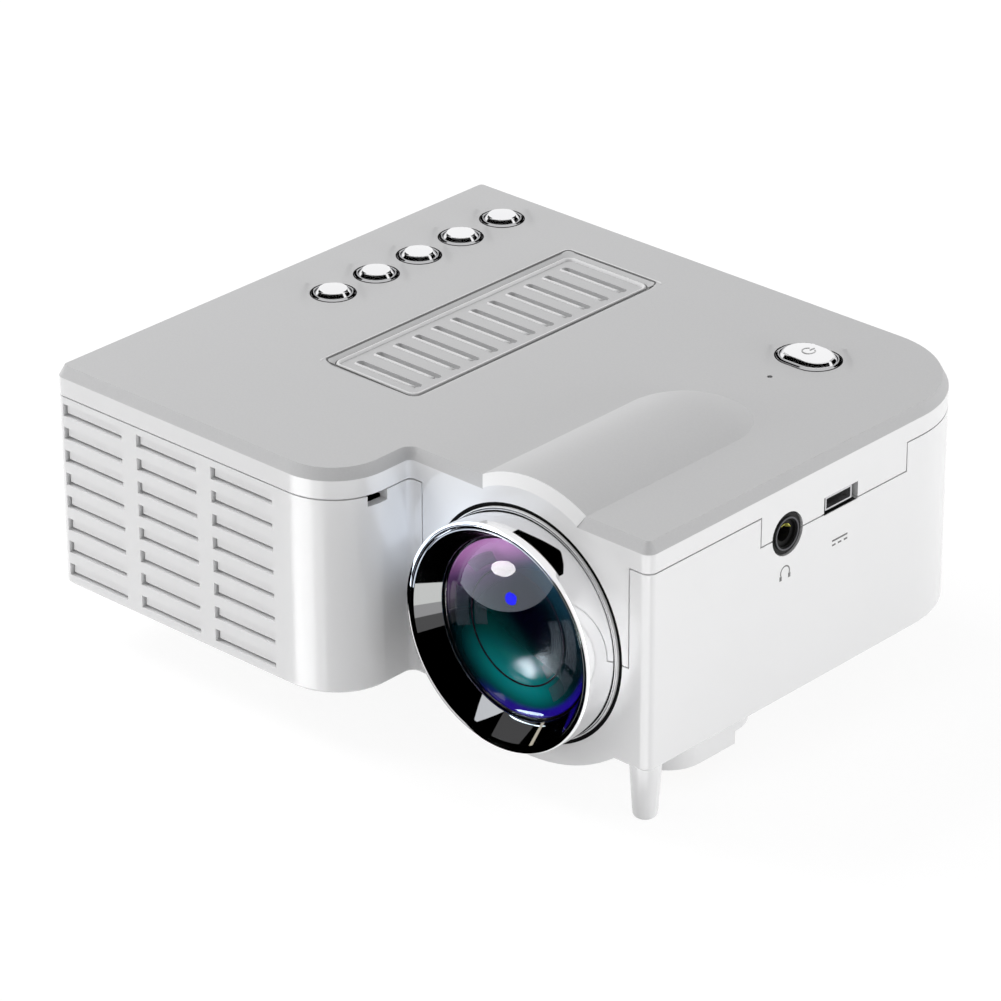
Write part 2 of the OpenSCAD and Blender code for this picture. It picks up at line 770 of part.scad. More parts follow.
module bottom_case() {
    color([0.93, 0.93, 0.93]) place() {
        difference() {
            union() {
                difference() {
                    union() {
                        outer_form();
                        belly_solid(belly_r, step_d, floor_t / 2);
                        tripod_pad();
                    }
                    difference() {
                        union() {
                            translate([0, 0, floor_t]) linear_extrude(big) plan(wall);
                            belly_solid(belly_r - floor_t, step_d + wall, floor_t + eps);
                        }
                        case_insides();
                    }
                    cover_zone(seam / 2);
                }
                plan_ring(wall + 0.1, wall + lip_t, part_z - seam - eps, part_z + lip_h);
                for (p = leg_at) leg(p[0], p[1]);
            }
            lens_hole();
            side_socket_holes();
            receiver_notch();
            for (c = [0 : grille_cols - 1]) for (r = [0 : grille_rows - 1])
                grille_slot(grille_left + c * grille_pitch_x, grille_low + r * grille_pitch_z);
            for (s = [card_at, video_at, usb_at]) socket_hole(s);
            rod_x(2.9, av_at[0] + av_at[1] / 2, board_top + av_at[2] / 2, -1, wall + 1);
            fan_louvres();
            floor_vents();
            for (p = boss_at) {
                rod_z(sink_r, p[0], p[1], -1, sink_z);
                rod_z(case_screw_r + 0.1, p[0], p[1], sink_z - eps, split_z + 1);
            }
            for (p = main_post_at()) rod_z(screw_r, p[0], p[1], board_z - 4.5, board_z + 1);
            for (p = ear_at) rod_z(screw_r, p[0], p[1], 0.8, box_z0 + ear_lift + 1);
            for (p = port_post_at) rod_z(screw_r, p[0], p[1], port_board_z - 5, port_board_z + 1);
            rod_z(insert_r, insert_x, insert_y, -pad_drop - 1, thread_len - pad_drop);
        }
    }
}

// Tapered leg with a rounded, flat-ended tip.
module leg(x, y) {
    flat_r = leg_tip_r - leg_round;
    arc = [for (a = [0 : 15 : 90]) [flat_r + leg_round * sin(a), -leg_h + leg_round * (1 - cos(a))]];
    translate([x, y, 0]) rotate_extrude()
        polygon(concat([[0, 0.5], [0, -leg_h]], arc, [[leg_r, 0], [leg_r, 0.5]]));
}

module tripod_insert() {
    color([0.78, 0.6, 0.3]) place() difference() {
        rod_z(insert_r, insert_x, insert_y, -pad_drop, thread_len - pad_drop);
        rod_z(thread_r, insert_x, insert_y, -pad_drop - 1, thread_len - pad_drop + 1);
    }
}

module case_screws() {
    color([0.7, 0.7, 0.72]) place() for (p = boss_at) difference() {
        union() {
            rod_z(case_head_r, p[0], p[1], sink_z - case_head_h, sink_z);
            rod_z(case_screw_r - 0.02, p[0], p[1], sink_z - eps, case_screw_top);
        }
        for (turn = [0, 90]) translate([p[0], p[1], sink_z - case_head_h]) rotate([0, 0, turn])
            cube([2.8, 0.6, 1.4], center = true);
    }
}

// Lens -----------------------------------------------------------------------------------------------

module focus_ring() {
    c = 0.45;
    color([0.85, 0.86, 0.88]) place() on_lens_axis() rotate_extrude() polygon([
        [ring_in_r, c], [ring_in_r + c * 0.6, 0], [ring_r - c * 0.6, 0], [ring_r, c],
        [ring_r, ring_len], [flange_r + 0.3, ring_len], [flange_r + 0.3, web_t1],
        [barrel_r + run_gap, web_t1], [barrel_r + run_gap, web_t0], [ring_in_r, web_t0]
    ]);
}

module lens_hood() {
    color([0.12, 0.12, 0.13]) place() on_lens_axis() rotate_extrude() polygon([
        [hood_r, hood_front], [hood_r, hood_back], [glass_r, hood_back], [glass_r, glass_depth],
        [hood_r - 0.35, hood_front]
    ]);
}

// A lens of edge radius r and edge thickness t from z = 0, with caps of curve r1 (front) and r2 (rear)
// over the radii q1 and q2; a positive curve bulges out, a negative one is hollow.
module lens(r, t, r1, r2, q1, q2) {
    difference() {
        union() {
            cylinder(r = r, h = t);
            if (r1 > 0) bulge(q1, r1);
            if (r2 > 0) translate([0, 0, t]) mirror([0, 0, 1]) bulge(q2, r2);
        }
        if (r1 < 0) dish(q1, -r1);
        if (r2 < 0) translate([0, 0, t]) mirror([0, 0, 1]) dish(q2, -r2);
    }
}

function sag(r, curve) = curve - sqrt(curve * curve - r * r);

module bulge(r, curve) {
    intersection() {
        translate([0, 0, curve - sag(r, curve)]) sphere(r = curve, $fn = 180);
        translate([0, 0, -sag(r, curve) - 1]) cylinder(r = r, h = sag(r, curve) + 1 + eps);
    }
}

module dish(r, curve) {
    translate([0, 0, sag(r, curve) - curve]) sphere(r = curve, $fn = 360);
}

module front_lens() {
    color([0.25, 0.4, 0.6, 0.5]) place() on_lens_axis() translate([0, 0, hood_back])
        lens(front_lens_r - pocket_gap, lens_edge, glass_curve, 60, glass_r - pocket_gap, stack_r - 0.8);
}

module lens_barrel() {
    b0 = hood_back;
    color([0.13, 0.13, 0.14]) place() {
        difference() {
            union() {
                on_lens_axis() translate([0, 0, b0]) cylinder(r = barrel_r, h = barrel_len);
                on_lens_axis() translate([0, 0, web_t1 + 0.3]) cylinder(r = flange_r, h = flange_t);
                translate([lens_x, rim_y + pin_t, lens_z]) cylinder(r = pin_r, h = barrel_r + pin_rise);
            }
            on_lens_axis() {
                translate([0, 0, b0 - 1]) cylinder(r = front_lens_r, h = lens_edge + 1);
                cylinder(r = stack_r - 0.6, h = b0 + barrel_len + 1);
                translate([0, 0, stack_t0]) cylinder(r = stack_r, h = barrel_len);
            }
        }
    }
}

module middle_lens() {
    color([0.6, 0.75, 0.8, 0.5]) place() on_lens_axis() translate([0, 0, stack_t0])
        lens(stack_r - pocket_gap, mid_edge, -120, -120, stack_r - 1.2, stack_r - 1.2);
}

module lens_spacer() {
    color([0.1, 0.1, 0.1]) place() on_lens_axis() translate([0, 0, stack_t0 + mid_edge]) difference() {
        cylinder(r = stack_r - pocket_gap, h = spacer_len);
        translate([0, 0, -1]) cylinder(r = stack_r - 1.2, h = spacer_len + 2);
    }
}

module rear_lens() {
    color([0.6, 0.75, 0.8, 0.5]) place() on_lens_axis()
        translate([0, 0, stack_t0 + mid_edge + spacer_len])
        lens(stack_r - pocket_gap, rear_edge, 60, 60, stack_r - 1.3, stack_r - 1.3);
}

module lens_retainer() {
    t0 = stack_t0 + mid_edge + spacer_len + rear_edge;
    color([0.1, 0.1, 0.1]) place() on_lens_axis() translate([0, 0, t0]) difference() {
        cylinder(r = stack_r - pocket_gap, h = retainer_len);
        translate([0, 0, -1]) cylinder(r = stack_r - 1.2, h = retainer_len + 2);
    }
}

module lens_tube() {
    slot_half = focus_travel + pin_r + 0.3;
    pin_y = rim_y + pin_t;
    color([0.16, 0.16, 0.17]) place() difference() {
        union() {
            rod_y(tube_r, lens_x, lens_z, tube_y0, tube_y1 + 1.4);
            rod_y(throat_out, lens_x, lens_z, tube_y1, box_y0 + tunnel_wall);
        }
        rod_y(barrel_r + run_gap, lens_x, lens_z, tube_y0 - 1, tube_y1);
        rod_y(throat_r, lens_x, lens_z, tube_y1 - 1, box_y0 + tunnel_wall + 1);
        box([lens_x - pin_r - 0.1, pin_y - slot_half, lens_z], [lens_x + pin_r + 0.1,
            pin_y + slot_half, lens_z + 30]);
    }
}

// Keys -----------------------------------------------------------------------------------------------

// Domed cap of radius r with a guide stem that ends above its switch.
module key_cap(x, y, r, stem_end) {
    rod_z(r, x, y, ceiling_z - key_travel - 0.3, body_h + key_rise);
    curve = (r * r + key_dome * key_dome) / (2 * key_dome);
    intersection() {
        translate([x, y, body_h + key_rise + key_dome - curve]) sphere(r = curve);
        rod_z(r, x, y, body_h, body_h + 5);
    }
    rod_z(r + 0.8, x, y, ceiling_z - 0.2 - key_stop, ceiling_z - 0.2);
    rod_z(stem_r, x, y, stem_end, ceiling_z);
}

module key(k) {
    switch_top = keyboard_z + keyboard_t + switch_h + plunger_h;
    color([0.85, 0.86, 0.88]) place()
        key_cap(key_left, key_front + k * key_pitch, key_r, switch_top + key_travel + 0.1);
}

module key_1() {
    key(0);
}

module key_2() {
    key(1);
}

module key_3() {
    key(2);
}

module key_4() {
    key(3);
}

module key_5() {
    key(4);
}

module key_surrounds() {
    color([0.8, 0.8, 0.82]) place() for (k = [0 : key_count - 1]) difference() {
        rod_z(key_r + surround_w, key_left, key_front + k * key_pitch, body_h - roof / 2,
              body_h + surround_rise);
        rod_z(key_r + key_gap, key_left, key_front + k * key_pitch, ceiling_z, body_h + 1);
    }
}

module power_key() {
    cap_top = body_h + key_rise;
    curve = (power_len * power_len / 4 + key_dome * key_dome) / (2 * key_dome);
    switch_top = power_board_z + keyboard_t + switch_h / 2 + plunger_h;
    color([0.85, 0.86, 0.88]) place() {
        oblong(power_x, power_y, power_len, power_w, ceiling_z - 0.4, cap_top);
        intersection() {
            translate([power_x, power_y, cap_top + key_dome - curve]) sphere(r = curve);
            oblong(power_x, power_y, power_len, power_w, body_h, body_h + 5);
        }
        oblong(power_x, power_y, power_len + 1.6, power_w + 1.6, ceiling_z - 0.2 - key_stop,
               ceiling_z - 0.2);
        rod_z(stem_r, power_x, power_y, switch_top + key_travel + 0.1, ceiling_z);
    }
}

module power_surround() {
    color([0.8, 0.8, 0.82]) place() difference() {
        oblong(power_x, power_y, power_len + 2 * surround_w, power_w + 2 * surround_w,
               body_h - roof / 2, body_h + surround_rise);
        oblong(power_x, power_y, power_len + 2 * key_gap, power_w + 2 * key_gap, ceiling_z, body_h + 1);
    }
}

module pilot_light_pipe() {
    color([0.9, 0.95, 1, 0.6]) place() {
        rod_z(pilot_r - pocket_gap, power_x, pilot_y, ceiling_z - 0.9, body_h - 0.1);
        rod_z(pilot_r + 0.6, power_x, pilot_y, ceiling_z - 0.9, ceiling_z);
    }
}

module tact_switch(x, y, z, h) {
    box([x - 3, y - 3, z], [x + 3, y + 3, z + h]);
    rod_z(1.6, x, y, z + h - eps, z + h + plunger_h);
}

module key_board() {
    color([0.1, 0.35, 0.2]) place() difference() {
        box([key_left - keyboard_half, key_front - 8.6, keyboard_z],
            [key_left + keyboard_half, key_end + 8.6, keyboard_z + keyboard_t]);
        for (p = key_post_at()) rod_z(screw_r + 0.1, p[0], p[1], keyboard_z - 1, keyboard_z + 2);
    }
}

module key_switches() {
    color([0.2, 0.2, 0.2]) place() for (k = [0 : key_count - 1])
        tact_switch(key_left, key_front + k * key_pitch, keyboard_z + keyboard_t, switch_h);
}

module power_board() {
    color([0.1, 0.35, 0.2]) place() difference() {
        box([power_x - 10, pilot_y - 3, power_board_z], [power_x + 10, power_y + 5,
            power_board_z + keyboard_t]);
        for (p = power_post_at()) rod_z(screw_r + 0.1, p[0], p[1], power_board_z - 1, power_board_z + 2);
    }
}

module power_switch() {
    color([0.2, 0.2, 0.2]) place()
        tact_switch(power_x, power_y, power_board_z + keyboard_t, switch_h / 2);
}

module pilot_led() {
    color([0.4, 0.5, 1]) place() box([power_x - 0.8, pilot_y - 0.5, power_board_z + keyboard_t],
        [power_x + 0.8, pilot_y + 0.5, power_board_z + keyboard_t + 0.7]);
}

// Boards and sockets ---------------------------------------------------------------------------------

module main_board() {
    color([0.1, 0.35, 0.2]) place() difference() {
        box([board_x0, board_y0, board_z], [board_x0 + board_w, board_y1, board_top]);
        for (p = main_post_at()) rod_z(screw_r + 0.1, p[0], p[1], board_z - 1, board_top + 1);
    }
}

module main_chips() {
    x = board_x0;
    y = board_y0;
    t = board_top;
    color([0.12, 0.12, 0.13]) place() {
        box([x + 27, y + 20, t], [x + 41, y + 34, t + 1.4]);
        box([x + 45, y + 22, t], [x + 55, y + 32, t + 1.1]);
        box([x + 28, y + 40, t], [x + 36, y + 46, t + 1]);
        box([x + 46, y + 8, t], [x + 52, y + 14, t + 3]);
        box([x + 55, y + 8, t], [x + 61, y + 14, t + 3]);
        for (k = [0 : 2]) rod_z(2.5, x + 42 + k * 7, y + 40, t, t + 6);
        box([x + 24, y + 4, t], [x + 31, y + 8, t + 4]);
        box([x + board_w - 5, y + 35, t], [x + board_w - 1, y + 49, t + 2.4]);
    }
}

// A socket shell on the left wall with a rectangular mouth and a contact tongue.
module wall_socket(s, rim, tongue_t) {
    x0 = 0.3;
    difference() {
        box([x0, s[0], board_top], [x0 + s[3], s[0] + s[1], board_top + s[2]]);
        box([x0 - 1, s[0] + rim, board_top + rim], [x0 + s[3] - 1.5, s[0] + s[1] - rim,
            board_top + s[2] - rim]);
    }
    if (tongue_t > 0) box([x0 + 1.2, s[0] + rim + 1.4, board_top + s[2] / 2 - tongue_t / 2],
        [x0 + s[3] - 1, s[0] + s[1] - rim - 1.4, board_top + s[2] / 2 + tongue_t / 2]);
}

module video_socket() {
    color([0.75, 0.75, 0.77]) place() wall_socket(video_at, 0.4, 0.9);
}

module usb_socket() {
    color([0.75, 0.75, 0.77]) place() wall_socket(usb_at, 0.4, 1.9);
}

module card_socket() {
    color([0.75, 0.75, 0.77]) place() wall_socket(card_at, 0.35, 0);
}

module av_jack() {
    y = av_at[0] + av_at[1] / 2;
    z = board_top + av_at[2] / 2;
    color([0.1, 0.1, 0.1]) place() difference() {
        union() {
            box([wall + 0.2, av_at[0], board_top], [av_at[3], av_at[0] + av_at[1], board_top + av_at[2]]);
            rod_x(2.5, y, z, 0.4, wall + 1);
        }
        rod_x(jack_bore_r, y, z, -1, av_at[3] - 1.2);
    }
}

module port_board() {
    color([0.1, 0.35, 0.2]) place() difference() {
        union() {
            box([port_arm_x0, port_arm_y0, port_board_z], [port_x1, jack_y + 6, port_board_z
                + port_board_t]);
            box([port_x0, jack_y + 5, port_board_z], [port_x1, port_y1, port_board_z + port_board_t]);
        }
        box([jack_x0() - 0.2, jack_y - 3.1, port_board_z - 1], [port_x1 + 1, jack_y + 3.1,
            port_board_z + 3]);
        box([port_x1 - 1.1, jack_y - jack_hole_r, port_board_z - 1], [port_x1 + 1,
            jack_y + jack_hole_r, port_board_z + 3]);
        for (p = port_post_at) rod_z(screw_r + 0.1, p[0], p[1], port_board_z - 1, port_board_z + 3);
    }
}

function jack_x0() = body_w - 14;

module headphone_jack() {
    color([0.08, 0.08, 0.08]) place() difference() {
        union() {
            box([jack_x0(), jack_y - 3, tongue_z - 3], [port_x1 - 0.8, jack_y + 3, tongue_z + 3]);
            rod_x(jack_hole_r - 0.25, jack_y, tongue_z, port_x1 - 0.8 - eps, body_w - 0.4);
        }
        rod_x(jack_bore_r, jack_y, tongue_z, jack_x0() + 1.2, body_w + 1);
        rod_x(2.7, jack_y, tongue_z, body_w - 1, body_w + 1);
    }
}

module power_inlet() {
    z0 = port_board_z + port_board_t;
    half = 3.8;
    h = 2.7;
    depth = 5.7;
    x1 = body_w - 0.6;
    color([0.7, 0.7, 0.72]) place() {
        difference() {
            box([x1 - depth, inlet_y - half, z0], [x1, inlet_y + half, z0 + h]);
            box([x1 - depth + 0.8, inlet_y - half + 0.35, z0 + 0.35], [x1 + 1, inlet_y + half - 0.35,
                z0 + h - 0.35]);
        }
        box([x1 - depth + 0.5, inlet_y - half + 1.3, z0 + 1.5], [x1 - 0.8, inlet_y + half - 1.3, z0 + 2.1]);
    }
}

module infrared_receiver() {
    x1 = step_x - wall - lip_t - 0.4;
    y = corner_grille - 1.1;
    z = part_z - 3.6;
    color([0.1, 0.05, 0.06]) place() {
        box([x1 - 4.2, y - 2.5, z], [x1 - 1.2, y + 2.5, z + 5]);
        translate([x1 - 1.4, y, z + 2.5]) sphere(r = 1.4);
        for (k = [-1, 0, 1]) lead([[x1 - 2.7, y + k * 1.4, z + 0.5], [x1 - 2.7, y + k * 1.4, z - 9 - k],
            [x1 - 2.7, board_y0 + 8.4 + k * 1.4, z - 9 - k], [x1 - 2.7, board_y0 + 8.4 + k * 1.4, board_top]],
            0.3);
    }
}

// Speaker --------------------------------------------------------------------------------------------

speaker_x = 30;
speaker_z = 20;
speaker_half = 16;
speaker_y = wall + 1.2;
speaker_r = 14;

module speaker_frame() {
    color([0.3, 0.3, 0.32]) place() difference() {
        union() {
            box([speaker_x - speaker_half, speaker_y, speaker_z - speaker_half],
                [speaker_x + speaker_half, speaker_y + 1.2, speaker_z + speaker_half]);
            rod_y(speaker_r, speaker_x, speaker_z, speaker_y, speaker_y + 5);
            rod_y(8, speaker_x, speaker_z, speaker_y + 4, speaker_y + 9);
        }
        rod_y(speaker_r - 1, speaker_x, speaker_z, speaker_y - 1, speaker_y + 4);
    }
}

module speaker_cone() {
    color([0.1, 0.1, 0.1]) place() translate([speaker_x, speaker_y + 0.1, speaker_z])
        rotate([-90, 0, 0]) rotate_extrude() polygon([
            [0, 3.9], [0, 1.6], [2.6, 2.6], [3.6, 2.6], [10.6, 0.3], [speaker_r - 1.05, 0.3],
            [speaker_r - 1.05, 0.8], [10.8, 0.8], [4, 3.2], [4, 3.9]
        ]);
}

module speaker_gasket() {
    color([0.2, 0.2, 0.2]) place() difference() {
        rod_y(speaker_half - 0.4, speaker_x, speaker_z, wall, speaker_y);
        rod_y(speaker_r - 1, speaker_x, speaker_z, wall - 1, speaker_y + 1);
    }
}

// Fan and optics -------------------------------------------------------------------------------------

module fan_frame() {
    half = fan_size / 2;
    x1 = fan_x0 + fan_depth;
    color([0.1, 0.1, 0.11]) place() {
        difference() {
            box([fan_x0, path_y - half, fan_z - half], [x1, path_y + half, fan_z + half]);
            rod_x(fan_bore, path_y, fan_z, fan_x0 - 1, x1 + 1);
            for (sy = [-1, 1]) for (sz = [-1, 1])
                rod_x(1.6, path_y + sy * (half - 3), fan_z + sz * (half - 3), fan_x0 - 1, x1 + 1);
        }
        difference() {
            union() {
                rod_x(stator_r, path_y, fan_z, x1 - stator_t, x1);
                for (a = [30, 150, 270]) translate([0, path_y, fan_z]) rotate([a, 0, 0])
                    box([x1 - stator_t, 0, -1], [x1, fan_bore + 0.5, 1]);
            }
            rod_x(shaft_r + run_gap, path_y, fan_z, fan_x0, x1 + 1);
        }
    }
}

module fan_rotor() {
    x1 = fan_x0 + fan_depth;
    color([0.14, 0.14, 0.15]) place() {
        rod_x(fan_hub, path_y, fan_z, fan_x0 + 0.8, x1 - stator_t - 0.5);
        rod_x(shaft_r, path_y, fan_z, fan_x0 + 2, x1 - 0.2);
        for (k = [0 : fan_blades - 1]) translate([0, path_y, fan_z]) rotate([k * 360 / fan_blades, 0, 0])
            intersection() {
                translate([(fan_x0 + x1) / 2 - 0.3, fan_tip / 2, 0]) rotate([0, 38, 0])
                    cube([8.4, fan_tip, 0.9], center = true);
                rod_x(fan_tip, 0, 0, fan_x0 + 0.8, x1 - stator_t - 0.5);
                box([fan_x0, fan_hub / 2, -10], [x1, fan_size, 10]);
            }
    }
}

module heat_sink() {
    z0 = floor_t + 0.4;
    z1 = fan_z + fan_size / 2;
    x1 = box_x0;
    color([0.65, 0.66, 0.68]) place() {
        box([x1 - sink_base, path_y - sink_half, z0], [x1, path_y + sink_half, z1]);
        for (k = [0 : fin_count - 1]) {
            y = path_y - sink_half + k * (2 * sink_half - fin_t) / (fin_count - 1);
            box([sink_x0, y, z0], [x1 - sink_base + eps, y + fin_t, z1]);
        }
    }
}

module led_board() {
    color([0.8, 0.8, 0.8]) place() box([box_x0, path_y - 10, lens_z - 10],
        [box_x0 + 1.6, path_y + 10, lens_z + 10]);
}

module led_chip() {
    x0 = box_x0 + 1.6;
    color([0.95, 0.85, 0.3]) place() {
        box([x0, path_y - 5, lens_z - 5], [x0 + 0.8, path_y + 5, lens_z + 5]);
        translate([x0 + 0.8 - eps, path_y, lens_z]) rotate([0, 90, 0]) rotate_extrude()
            polygon([[0, 0], [3.4, 0], [3.3, 0.7], [2.7, 1.4], [1.5, 2], [0, 2.2]]);
    }
}

module condenser_lens() {
    color([0.6, 0.75, 0.8, 0.5]) place() translate([cup_x + cup_t, path_y, lens_z])
        rotate([0, -90, 0]) lens(condenser_r, cup_t - tunnel_wall, 16, 0, condenser_r, 0);
}

module light_box() {
    color([0.15, 0.15, 0.16]) place() difference() {
        union() {
            difference() {
                box([box_x0, box_y0, box_z0], [box_x1, box_y1, box_z1]);
                difference() {
                    box([box_x0 + plate_t, box_y0 + tunnel_wall, box_z0 + tunnel_wall],
                        [box_x1 - tunnel_wall, box_y1 - tunnel_wall, box_z1 + 1]);
                    box([cup_x, box_y0, box_z0], [cup_x + cup_t, box_y1, box_z1]);
                    mirror_corner(chamfer_in, box_z0, box_z1 + 2);
                }
                mirror_corner(chamfer_out, box_z0 - 1, box_z1 + 2);
            }
            for (p = ear_at) rod_z(ear_r, p[0], p[1], box_z0 + ear_lift, box_z0 + ear_lift + ear_t);
            for (p = ear_at) box([p[0] - ear_r, min(p[1], p[1] < path_y ? box_y0 : box_y1),
                box_z0 + ear_lift], [p[0] + ear_r, max(p[1], p[1] < path_y ? box_y0 + eps : box_y1),
                box_z0 + ear_lift + ear_t]);
            for (p = lid_screw_at()) rod_z(2.1, p[0], p[1], box_z1 - 8, box_z1);
        }
        box([box_x0 - 1, path_y - led_window / 2, lens_z - led_window / 2],
            [box_x0 + plate_t + 1, path_y + led_window / 2, lens_z + led_window / 2]);
        rod_x(condenser_r - 1.5, path_y, lens_z, cup_x - 1, cup_x + cup_t);
        rod_x(condenser_r + pocket_gap, path_y, lens_z, cup_x + tunnel_wall, cup_x + cup_t + 1);
        rod_y(throat_out + pocket_gap, lens_x, lens_z, box_y0 - 1, box_y0 + tunnel_wall + 1);
        box([panel_x + 0.7, box_y0 - 1, lens_z - 6.4], [panel_x + 1.5, box_y0 + tunnel_wall + 1,
            lens_z + 6.4]);
        for (p = ear_at) rod_z(screw_r + 0.1, p[0], p[1], box_z0 + ear_lift - 1, box_z0 + 9);
        rod_y(1, led_hole_x, lens_z - 7, box_y0 - 1, box_y0 + tunnel_wall + 1);
        for (p = lid_screw_at()) rod_z(screw_r, p[0], p[1], box_z1 - 5, box_z1 + 1);
    }
}

function lid_screw_at() = [
    [box_x0 + 16, box_y0 - 2], [box_x0 + 16, box_y1 + 2], [panel_x, box_y1 + 2],
    [lens_x + chamfer_out / 2 + 15, path_y + chamfer_out / 2 - 12.2]
];

// The corner behind the mirror, to be cut off at a distance measured along x from the mirror's face.
module mirror_corner(reach, z0, z1) {
    c = lens_x + path_y + reach;
    translate([0, 0, z0]) linear_extrude(z1 - z0)
        polygon([[c - box_y1 - 9, box_y1 + 9], [box_x1 + 9, box_y1 + 9], [box_x1 + 9, c - box_x1 - 9]]);
}

module light_box_lid() {
    color([0.15, 0.15, 0.16]) place() difference() {
        union() {
            difference() {
                box([box_x0, box_y0, box_z1], [box_x1, box_y1, box_z1 + lid_t]);
                mirror_corner(chamfer_out, box_z1 - 1, box_z1 + lid_t + 1);
            }
            for (p = lid_screw_at()) rod_z(2.1, p[0], p[1], box_z1, box_z1 + lid_t);
        }
        for (p = lid_screw_at()) rod_z(screw_r + 0.1, p[0], p[1], box_z1 - 1, box_z1 + lid_t + 1);
    }
}

module optic_plate(x, t) {
    box([x, box_y0 + tunnel_wall, plate_z0], [x + t, box_y1 - tunnel_wall, plate_z1]);
}

module field_lens_in() {
    color([0.7, 0.8, 0.85, 0.5]) place() optic_plate(field_at[0], field_t);
}

module field_lens_out() {
    color([0.7, 0.8, 0.85, 0.5]) place() optic_plate(field_at[1], field_t);
}

module lcd_panel() {
    color([0.2, 0.22, 0.28]) place() difference() {
        optic_plate(panel_x, panel_t);
        box([panel_x - 1, path_y - 16.3, lens_z - 12.2], [panel_x + 0.4, path_y + 16.3, lens_z + 12.2]);
        box([panel_x + panel_t - 0.4, path_y - 16.3, lens_z - 12.2], [panel_x + panel_t + 1,
            path_y + 16.3, lens_z + 12.2]);
    }
}

module fold_mirror() {
    color([0.85, 0.88, 0.9]) place() translate([lens_x, path_y, plate_z0]) rotate([0, 0, -45])
        translate([-mirror_half * sqrt(2), 0, 0])
        cube([2 * mirror_half * sqrt(2), mirror_t, plate_z1 - plate_z0]);
}

module panel_ribbon() {
    x = panel_x + 0.9;
    y0 = board_y1 - 8;
    color([0.85, 0.65, 0.3]) place() {
        box([x, y0, lens_z - 6], [x + 0.3, box_y0 + tunnel_wall, lens_z + 6]);
        box([board_x0 + board_w - 4, y0, board_top + 2.4], [x + 0.3, y0 + 0.3, lens_z + 6]);
    }
}

// Fasteners and leads --------------------------------------------------------------------------------

module board_screws() {
    color([0.7, 0.7, 0.72]) place() {
        for (p = main_post_at()) small_screw(p[0], p[1], board_top, 5.5);
        for (p = port_post_at) small_screw(p[0], p[1], port_board_z + port_board_t, 5.5);
        for (p = key_post_at()) translate([0, 0, 2 * keyboard_z]) mirror([0, 0, 1])
            small_screw(p[0], p[1], keyboard_z, 5);
        for (p = power_post_at()) {
            rod_z(screw_r, p[0], p[1], power_board_z - eps, ceiling_z - 0.6);
            rod_z(small_head_r, p[0], p[1], power_board_z - 0.6, power_board_z);
        }
    }
}

module engine_screws() {
    color([0.7, 0.7, 0.72]) place() {
        for (p = ear_at) small_screw(p[0], p[1], box_z0 + ear_lift + ear_t, 5);
        for (p = lid_screw_at()) small_screw(p[0], p[1], box_z1 + lid_t, 5);
    }
}

module fan_lead() {
    x = fan_x0 + fan_depth - 1.5;
    y = path_y - fan_size / 2;
    z = fan_z - fan_size / 2 + 9;
    color([0.7, 0.1, 0.1]) place() lead([[x, y, z], [x, y - 1.7, z], [x + 12, y - 1.7, z],
        [x + 12, board_y1 - 3, z], [x + 12, board_y1 - 3, board_top]], 0.7);
}

module speaker_lead() {
    y = speaker_y + 9;
    color([0.1, 0.1, 0.1]) place() lead([[speaker_x, y, speaker_z], [speaker_x, board_y0 + 2, speaker_z],
        [speaker_x, board_y0 + 2, board_top]], 0.7);
}

module led_lead() {
    z = lens_z - 7;
    color([0.7, 0.1, 0.1]) place() lead([[box_x0 + 1.6, path_y - 8.6, z], [led_hole_x, path_y - 8.6, z],
        [led_hole_x, board_y1 - 3, z], [led_hole_x, board_y1 - 3, board_top]], 0.7);
}

module port_lead() {
    z = ceiling_z - 2.6;
    x = board_x0 + board_w - 12;
    y = box_y0 - 4;
    color([0.15, 0.15, 0.15]) place() lead([[port_x0 - 2, y, port_board_z + port_board_t],
        [port_x0 - 2, y, z], [x, y, z], [x, y, board_top]], 0.7);
}

module key_lead() {
    y = key_front - 4;
    x = key_left + keyboard_half - 1;
    color([0.15, 0.15, 0.15]) place() lead([[x, y, keyboard_z], [x, y, board_top]], 0.7);
}

top_cover();
bottom_case();
tripod_insert();
case_screws();
focus_ring();
lens_hood();
front_lens();
lens_barrel();
middle_lens();
lens_spacer();
rear_lens();
lens_retainer();
lens_tube();
key_1();
key_2();
key_3();
key_4();
key_5();
key_surrounds();
power_key();
power_surround();
pilot_light_pipe();
key_board();
key_switches();
power_board();
power_switch();
pilot_led();
main_board();
main_chips();
video_socket();
usb_socket();
av_jack();
card_socket();
port_board();
headphone_jack();
power_inlet();
infrared_receiver();
speaker_frame();
speaker_cone();
speaker_gasket();
fan_frame();
fan_rotor();
heat_sink();
led_board();
led_chip();
condenser_lens();
light_box();
light_box_lid();
field_lens_in();
lcd_panel();
field_lens_out();
fold_mirror();
panel_ribbon();
board_screws();
engine_screws();
fan_lead();
speaker_lead();
led_lead();
port_lead();
key_lead();
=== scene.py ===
# %% [markdown]
# # A small home projector, finished in Blender
#
# The part comes in as a imported CAD assembly, in metres, and it stays where it is.
# This lesson puts a camera, light and finishes around it, replaces the few
# solids whose edges the eye reads most, the focus ring, the lens and the keys,
# and adds the small printed signs. Every new shape is a surface worked out with numpy.

# %% Load the frame
import math

import bmesh
import bpy
import numpy as np
from mathutils import Matrix, Vector


